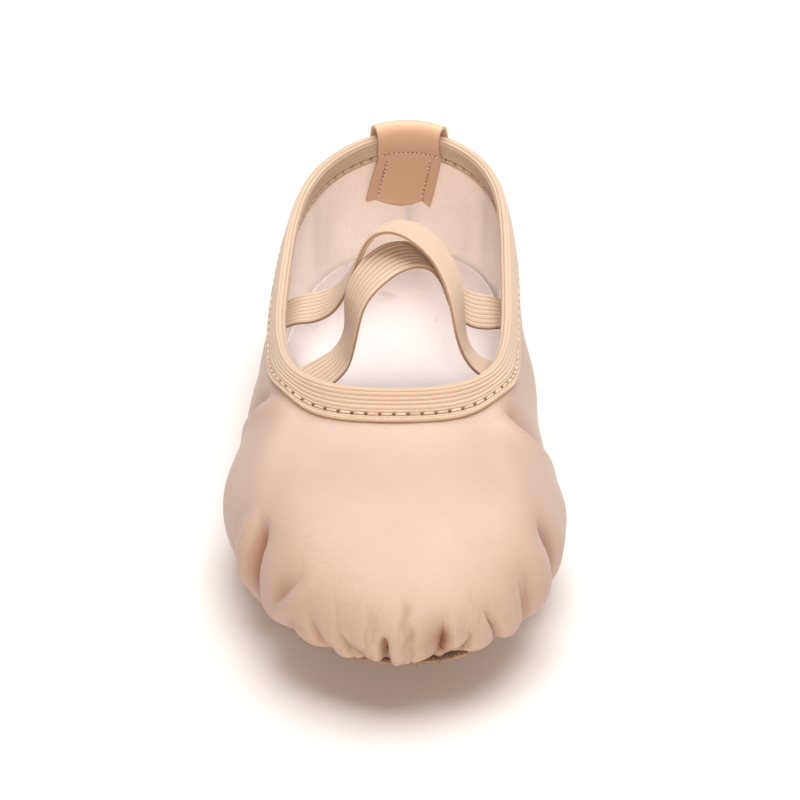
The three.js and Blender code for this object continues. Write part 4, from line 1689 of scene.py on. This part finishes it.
@dataclass
class HeelTab:
    """Leather strip folded over the binding at the heel: puffed over the rim, sewn down inside."""

    form: ShoeForm
    binding: CollarBinding
    thick: float = 0.8
    outer: float = 16.5
    clear: float = 0.2
    sewn: float = 3.8
    puff: float = 1.3
    rise: float = 4.4
    columns: int = 72
    rows: int = 110
    left: tuple[tuple[float, float], ...] = ((0.0, -9.2), (5.0, -8.7), (18.6, -11.8))
    right: tuple[tuple[float, float], ...] = ((0.0, 10.2), (5.0, 10.2), (22.5, 6.2))
    hem: tuple[tuple[float, float], ...] = (
        (-1.0, 18.6), (-0.7, 19.0), (-0.45, 20.7), (-0.2, 21.8), (0.1, 22.5), (0.45, 22.0), (0.68, 20.6),
        (0.74, 21.0), (1.0, 22.4),
    )
    seams: tuple[float, float] = (-0.69, 0.68)
    # Painted light: the upper's leather, painted lighter and warmer to make up for the shade the tab sits in
    leather: LeatherFinish = LeatherFinish(
        "leather_tab_painted_light", light=(0.69, 0.468, 0.305), mid=(0.62, 0.402, 0.258), shade=(0.3, 0.15, 0.085),
    )

    def place(self, across: np.ndarray, run: np.ndarray, lift: float = 0.0) -> np.ndarray:
        """Points of the strip.

        Args:
            across: Shares from -1 at the left edge to 1 at the right edge.
            run: Shares along the strip, 0 at the outer hem, 1 at the inner hem.
            lift: Distance off the strip, away from the wall.

        Returns:
            Points in millimetres.
        """
        band = self.binding
        hem = read_rows(self.hem, across)
        outside, inside = run < 0.35, run > 0.65
        bend = np.clip((run - 0.35) / 0.3, 0.0, 1.0) * math.pi
        level = -self.sewn + (self.sewn + self.rise + lift) * np.sin(bend)
        level = np.where(outside, -self.outer + (self.outer - self.sewn) * run / 0.35, level)
        level = np.where(inside, -self.sewn - (hem - self.sewn) * (run - 0.65) / 0.35, level)
        drop, rise = np.maximum(-level, 0.0), np.maximum(level, 0.0)
        turn = self._turn(across, np.where(inside, drop, 0.0))
        over = band.seat + band.thick + band.rib_height + self.clear
        leaf = np.where(bend < math.pi / 2.0, band.outer, band.inner)
        stand = self.clear + (over - self.clear) * (1.0 - ease(0.0, 9.0, drop - leaf))
        stand = stand + self.form.rim_wall / 2.0 + self.puff * np.sin(bend) ** 0.7 + lift
        seam = sum(np.exp(-(((across - place) / 0.05) ** 2)) for place in self.seams)
        right_flap = ease(self.seams[1] - 0.02, self.seams[1] + 0.06, across)
        left_flap = ease(-self.seams[0] - 0.02, -self.seams[0] + 0.06, -across)
        flap = np.maximum(right_flap, left_flap)
        stand = stand + np.where(inside, (0.25 * (1.0 - flap) - 0.3 * seam) * ease(4.5, 7.0, drop), 0.0)
        growth = np.where(inside, band.wall_growth(turn, drop), 0.0)
        offset = -self.form.rim_wall / 2.0 + stand * np.cos(bend) - growth
        points, _, _ = self.form.beside_rim(turn, drop, offset, rise)
        return points

    def _turn(self, across: np.ndarray, drop: np.ndarray) -> np.ndarray:
        """Places round the shoe of shares across the strip.

        Args:
            across: Shares from the left edge to the right edge.
            drop: Distances below the rim on the inner side.

        Returns:
            Places in sections from the toe.
        """
        left = read_rows(self.left, drop)
        right = read_rows(self.right, drop)
        heel = np.array([float(self.form.half_turn)])
        _, _, stretch = self.form.directions(heel, np.array([0.95]))
        side = (left + right) / 2.0 + across * (right - left) / 2.0
        return self.form.half_turn - side / stretch[0]

    def build(self) -> bpy.types.Object:
        """Shapes the strip, gives it thickness and dresses it.

        Returns:
            The tab.
        """
        piece = Workbench.sheet("tab_leather", self.columns, self.rows)
        across, up = Workbench.spread(piece)
        Workbench.shape(piece, self.place(2.0 * across - 1.0, up))
        # Painted shade: the inner leaf, inside the collar, gets part of the shade colour
        Workbench.mark(piece, "fold", 0.28 * ease(0.52, 0.64, up))
        piece.data.materials.append(self.leather.material())
        Workbench.close(piece)
        Workbench.thicken(piece, self.thick, 1.0)
        return Workbench.seat(piece, "heel_tab", ("heel_tab",))


@dataclass
class Stitching:
    """Row of stitches, or of loose fibres."""

    name: str
    slot: str
    finish: ThreadFinish
    radius: float = 0.3
    share: float = 0.8
    arch: float = 0.22
    sides: int = 8
    rings: int = 7

    def _copies(self, count: int) -> bpy.types.Object:
        """One bead of thread and its copies, ready to be laid.

        Args:
            count: Number of stitches.

        Returns:
            The new piece, with the beads one after the other.
        """
        bpy.ops.object.select_all(action="DESELECT")
        bpy.ops.mesh.primitive_uv_sphere_add(segments=self.sides, ring_count=self.rings, radius=1.0)
        piece = bpy.context.object
        piece.name = self.name
        piece.data.name = self.name
        row = piece.modifiers.new("row", "ARRAY")
        row.count = count
        bpy.ops.object.modifier_apply(modifier=row.name)
        bpy.ops.object.shade_smooth()
        return piece

    def build(self, starts: np.ndarray, ends: np.ndarray, outward: np.ndarray) -> bpy.types.Object:
        """Lays one stitch between each pair of points.

        Args:
            starts: First needle holes in millimetres.
            ends: Second needle holes.
            outward: Directions away from the surface.

        Returns:
            The row of stitches.
        """
        piece = self._copies(len(starts))
        bead = Workbench.points(piece).reshape(len(starts), -1, 3)[0]
        reach = np.sign(bead[:, 2]) * np.abs(bead[:, 2]) ** 0.6
        length = np.linalg.norm(ends - starts, axis=1, keepdims=True)
        along = (ends - starts) / length
        side = unit(np.cross(outward, along))
        up = np.cross(along, side)
        arch = self.radius * bead[:, 1] + self.arch * (1.0 - reach ** 2)
        points = (
            ((starts + ends) / 2.0)[:, None, :]
            + along[:, None, :] * (reach[None, :, None] * length[:, None] * self.share / 2.0)
            + side[:, None, :] * (bead[None, :, :1] * self.radius)
            + up[:, None, :] * arch[None, :, None]
        )
        Workbench.shape(piece, points.reshape(-1, 3))
        piece.data.materials.append(self.finish.material())
        return Workbench.seat(piece, self.slot)


@dataclass(frozen=True)
class Lamp:
    """Soft square light that looks at the shoe.

    Attributes:
        name: Name of the light.
        place: Where it hangs, in metres.
        size: Edge length in metres.
        power: Strength in watts.
        colour: Tint of the light.
        target: Place that it looks at, in metres.
    """

    name: str
    place: Place
    size: float
    power: float
    colour: Colour = WHITE
    target: Place = (0.0, 0.0, 0.02)

    def build(self) -> None:
        """Hangs the light."""
        bpy.ops.object.select_all(action="DESELECT")
        bpy.ops.object.light_add(type="AREA", location=self.place)
        light = bpy.context.object
        light.name = self.name
        light.data.size = self.size
        light.data.energy = self.power
        light.data.color = self.colour
        aim = Vector(self.target) - Vector(self.place)
        light.rotation_euler = aim.to_track_quat("-Z", "Y").to_euler()


@dataclass
class Studio:
    """Floor, lights and the camera of the picture."""

    target: Place = (0.94, -0.99, 22.0)
    distance: float = 600.0
    elevation: float = 32.0
    azimuth: float = 0.3
    focal_pixels: float = 2478.0
    picture: float = 800.0
    sensor: float = 36.0
    floor_size: float = 6.0
    air: Colour = (1.0, 0.7, 0.58)
    air_strength: float = 0.19
    lamps: tuple[Lamp, ...] = (
        Lamp("key_light", (0.12, 0.3, 1.05), 1.15, 13.2),
        Lamp("top_light", (0.05, 0.2, 1.4), 1.2, 12.0),
        Lamp("front_light", (0.0, -1.6, 0.34), 0.9, 15.0, (1.0, 0.76, 0.62)),
    )

    def _collar_light(self) -> None:
        """Adds a soft narrow light that reaches into the collar."""
        place = Vector((0.06, -1.0, 0.75))
        aim = Vector((0.0, 0.075, 0.035)) - place
        tilt = aim.to_track_quat("-Z", "Y").to_euler()
        bpy.ops.object.light_add(type="SPOT", location=place, rotation=tilt)
        light = bpy.context.object
        light.name = "collar_light"
        light.data.energy = 72.0
        light.data.color = (1.0, 0.93, 0.87)
        light.data.spot_size = math.radians(10.0)
        light.data.spot_blend = 1.0
        light.data.shadow_soft_size = 0.15

    def build(self) -> None:
        """Sets up the floor, the lights, the light of the air and the camera."""
        bpy.ops.object.select_all(action="DESELECT")
        bpy.ops.mesh.primitive_plane_add(size=self.floor_size)
        floor = bpy.context.object
        floor.name = "studio_floor"
        floor.data.materials.append(FloorFinish().material())
        for lamp in self.lamps:
            lamp.build()
        self._collar_light()
        world = bpy.data.worlds.new("studio_air")
        world.use_nodes = True
        sky = world.node_tree.nodes["Background"]
        sky.inputs["Color"].default_value = (*self.air, 1.0)
        sky.inputs["Strength"].default_value = self.air_strength
        bpy.context.scene.world = world
        self._camera()

    def _camera(self) -> None:
        """Puts the camera at the angle of the picture."""
        lift = math.radians(self.elevation)
        turn = math.radians(self.azimuth)
        back = Vector((math.sin(turn) * math.cos(lift), -math.cos(turn) * math.cos(lift), math.sin(lift)))
        place = (Vector(self.target) + back * self.distance) * MM
        bpy.ops.object.camera_add(location=place, rotation=(-back).to_track_quat("-Z", "Y").to_euler())
        camera = bpy.context.object
        camera.name = "picture_camera"
        camera.data.sensor_width = self.sensor
        camera.data.lens = self.focal_pixels / self.picture * self.sensor
        camera.data.clip_start = 0.01
        bpy.context.scene.camera = camera
        bpy.context.scene.view_settings.view_transform = "Standard"


@dataclass
class BalletShoe:
    """The whole shoe, piece by piece."""

    form: ShoeForm

    def _binding_stitches(self, binding: CollarBinding) -> None:
        """Lays the stitches in the groove of the binding, outside and inside.

        Args:
            binding: The binding.
        """
        holes = binding.stitch_places()
        thread = ThreadFinish("thread_binding", (0.72, 0.55, 0.4))
        for name, drop, offset in (
            ("binding_stitches", binding.stitch_drop, binding.seat + binding.thick - 0.15),
            ("binding_stitches_inside", binding.inner_stitch_drop, None),
        ):
            first, second = holes[:-1], holes[1:]
            drops = np.full(first.shape, drop)
            share = 1.0 if offset is None else binding.leaf_share(holes)
            lows = drop * share * np.ones(holes.shape)
            sign = 1.0
            level = np.full(first.shape, offset if offset is not None else 0.0)
            other = level
            if offset is None:
                sign = -1.0
                base = -self.form.rim_wall - binding.seat - binding.thick + 0.1
                level = base - binding.tuck(first, drops) - binding.wall_growth(first, drops)
                other = base - binding.tuck(second, drops) - binding.wall_growth(second, drops)
            starts, normal, _ = self.form.beside_rim(first, lows[:-1], level)
            ends, _, _ = self.form.beside_rim(second, lows[1:], other)
            Stitching(name, "collar_binding", thread, radius=0.3).build(starts, ends, normal * sign)

    def _tab_stitches(self, tab: HeelTab) -> None:
        """Lays the seams of the heel tab, with dark beads of painted shade for their needle holes.

        Two go down the inner leaf, one across it and one round the outer leaf.

        Args:
            tab: The heel tab.
        """
        thread = ThreadFinish("thread_tab", (0.8, 0.61, 0.46))
        # Painted shade: dark beads between the stitches stand in for the shade in the needle holes
        shade = ThreadFinish("painted_hole_shade", (0.2, 0.1, 0.055))
        lines = [((edge, 0.69), (edge, 0.985), 10) for edge in tab.seams]
        lines.append(((-0.96, 0.655), (0.96, 0.655), 13))
        lines.append(((-0.86, 0.03), (0.86, 0.03), 10))
        lines += [((edge, 0.04), (edge, 0.33), 8) for edge in (-0.86, 0.86)]
        for name, finish, shift, radius, share, arch in (
            ("tab_stitches", thread, 0.0, 0.28, 0.62, 0.22),
            ("tab_needle_holes", shade, 0.5, 0.24, 0.3, 0.0),
        ):
            starts, ends, outward = [], [], []
            for first, last, count in lines:
                step = np.arange(count + 1) + shift
                across = first[0] + (last[0] - first[0]) * step / count
                run = first[1] + (last[1] - first[1]) * step / count
                points = tab.place(across, run, tab.thick + 0.02)
                away = tab.place(across, run, tab.thick + 1.0) - points
                keep = count if shift == 0.0 else count - 1
                starts.append(points[:keep])
                ends.append(points[1:keep + 1])
                outward.append(unit(away[:keep]))
            row = Stitching(name, "heel_tab", finish, radius=radius, share=share, arch=arch)
            row.build(np.concatenate(starts), np.concatenate(ends), np.concatenate(outward))

    def _sole_stitches(self, plate: SolePlate, count: int = 150, inset: float = 0.87) -> None:
        """Lays the seam round the sole.

        Args:
            plate: The outsole.
            count: Number of stitches.
            inset: Share of the way from the middle line to the edge.
        """
        turn = np.linspace(-self.form.half_turn, self.form.half_turn, 2001)
        line = plate.rung(turn, np.full(turn.shape, inset), np.zeros(turn.shape))
        holes = even_places(turn, line, count)
        points = plate.rung(holes, np.full(holes.shape, inset), np.full(holes.shape, 0.24))
        down = np.tile((0.0, 0.0, -1.0), (count, 1))
        thread = ThreadFinish("thread_sole", (0.62, 0.46, 0.36))
        row = Stitching("sole_stitches", "outsole", thread, radius=0.24, share=0.7, arch=0.0)
        row.build(points[:-1], points[1:], down)

    def build(self) -> None:
        """Builds all pieces in order."""
        Upper(self.form).build()
        suede = SuedeFinish("suede_sole")
        sole = SolePlate(self.form, Layer.OUTSOLE, share=1.0, bottom=0.0, thick=2.0, finish=suede)
        sole.build()
        fringe = SoleFringe(self.form, SuedeFinish("suede_edge", (0.42, 0.27, 0.16), (0.27, 0.16, 0.09)))
        fringe.build()
        fibre = ThreadFinish("suede_fibre", (0.5, 0.33, 0.19))
        strands = Stitching(
            "sole_fibres", "outsole", fibre, radius=0.09, share=1.0, arch=0.0, sides=5, rings=4,
        )
        strands.build(*fringe.fibres())
        # The insole's deep colour is painted light, darker for its lit floor than for its shaded wall; the
        # flecks are marks on it
        pale = ClothFinish(
            "insole_pale", (0.79, 0.72, 0.715), (0.73, 0.655, 0.65), relief=0.00003,
            deep=(0.47, 0.438, 0.437), flecks=(0.52, 0.46, 0.45),
        )
        CuppedInsole(self.form, Layer.INSOLE, share=0.96, bottom=4.2, thick=1.5, finish=pale).build()
        binding = CollarBinding(self.form)
        binding.build()
        elastic = ElasticFinish("elastic_strap", pitch=200.0)
        Strap(self.form, "strap_under", *UNDER_ENDS, UNDER_STATIONS, elastic).build()
        Strap(self.form, "strap_over", *OVER_ENDS, OVER_STATIONS, elastic).build()
        tab = HeelTab(self.form, binding)
        tab.build()
        self._binding_stitches(binding)
        self._tab_stitches(tab)
        self._sole_stitches(sole)


def main() -> None:
    """Builds the studio and the shoe."""
    logging.basicConfig(level=logging.INFO, format="%(name)s %(message)s")
    Studio().build()
    BalletShoe(ShoeForm()).build()


if __name__ == "__main__":
    main()
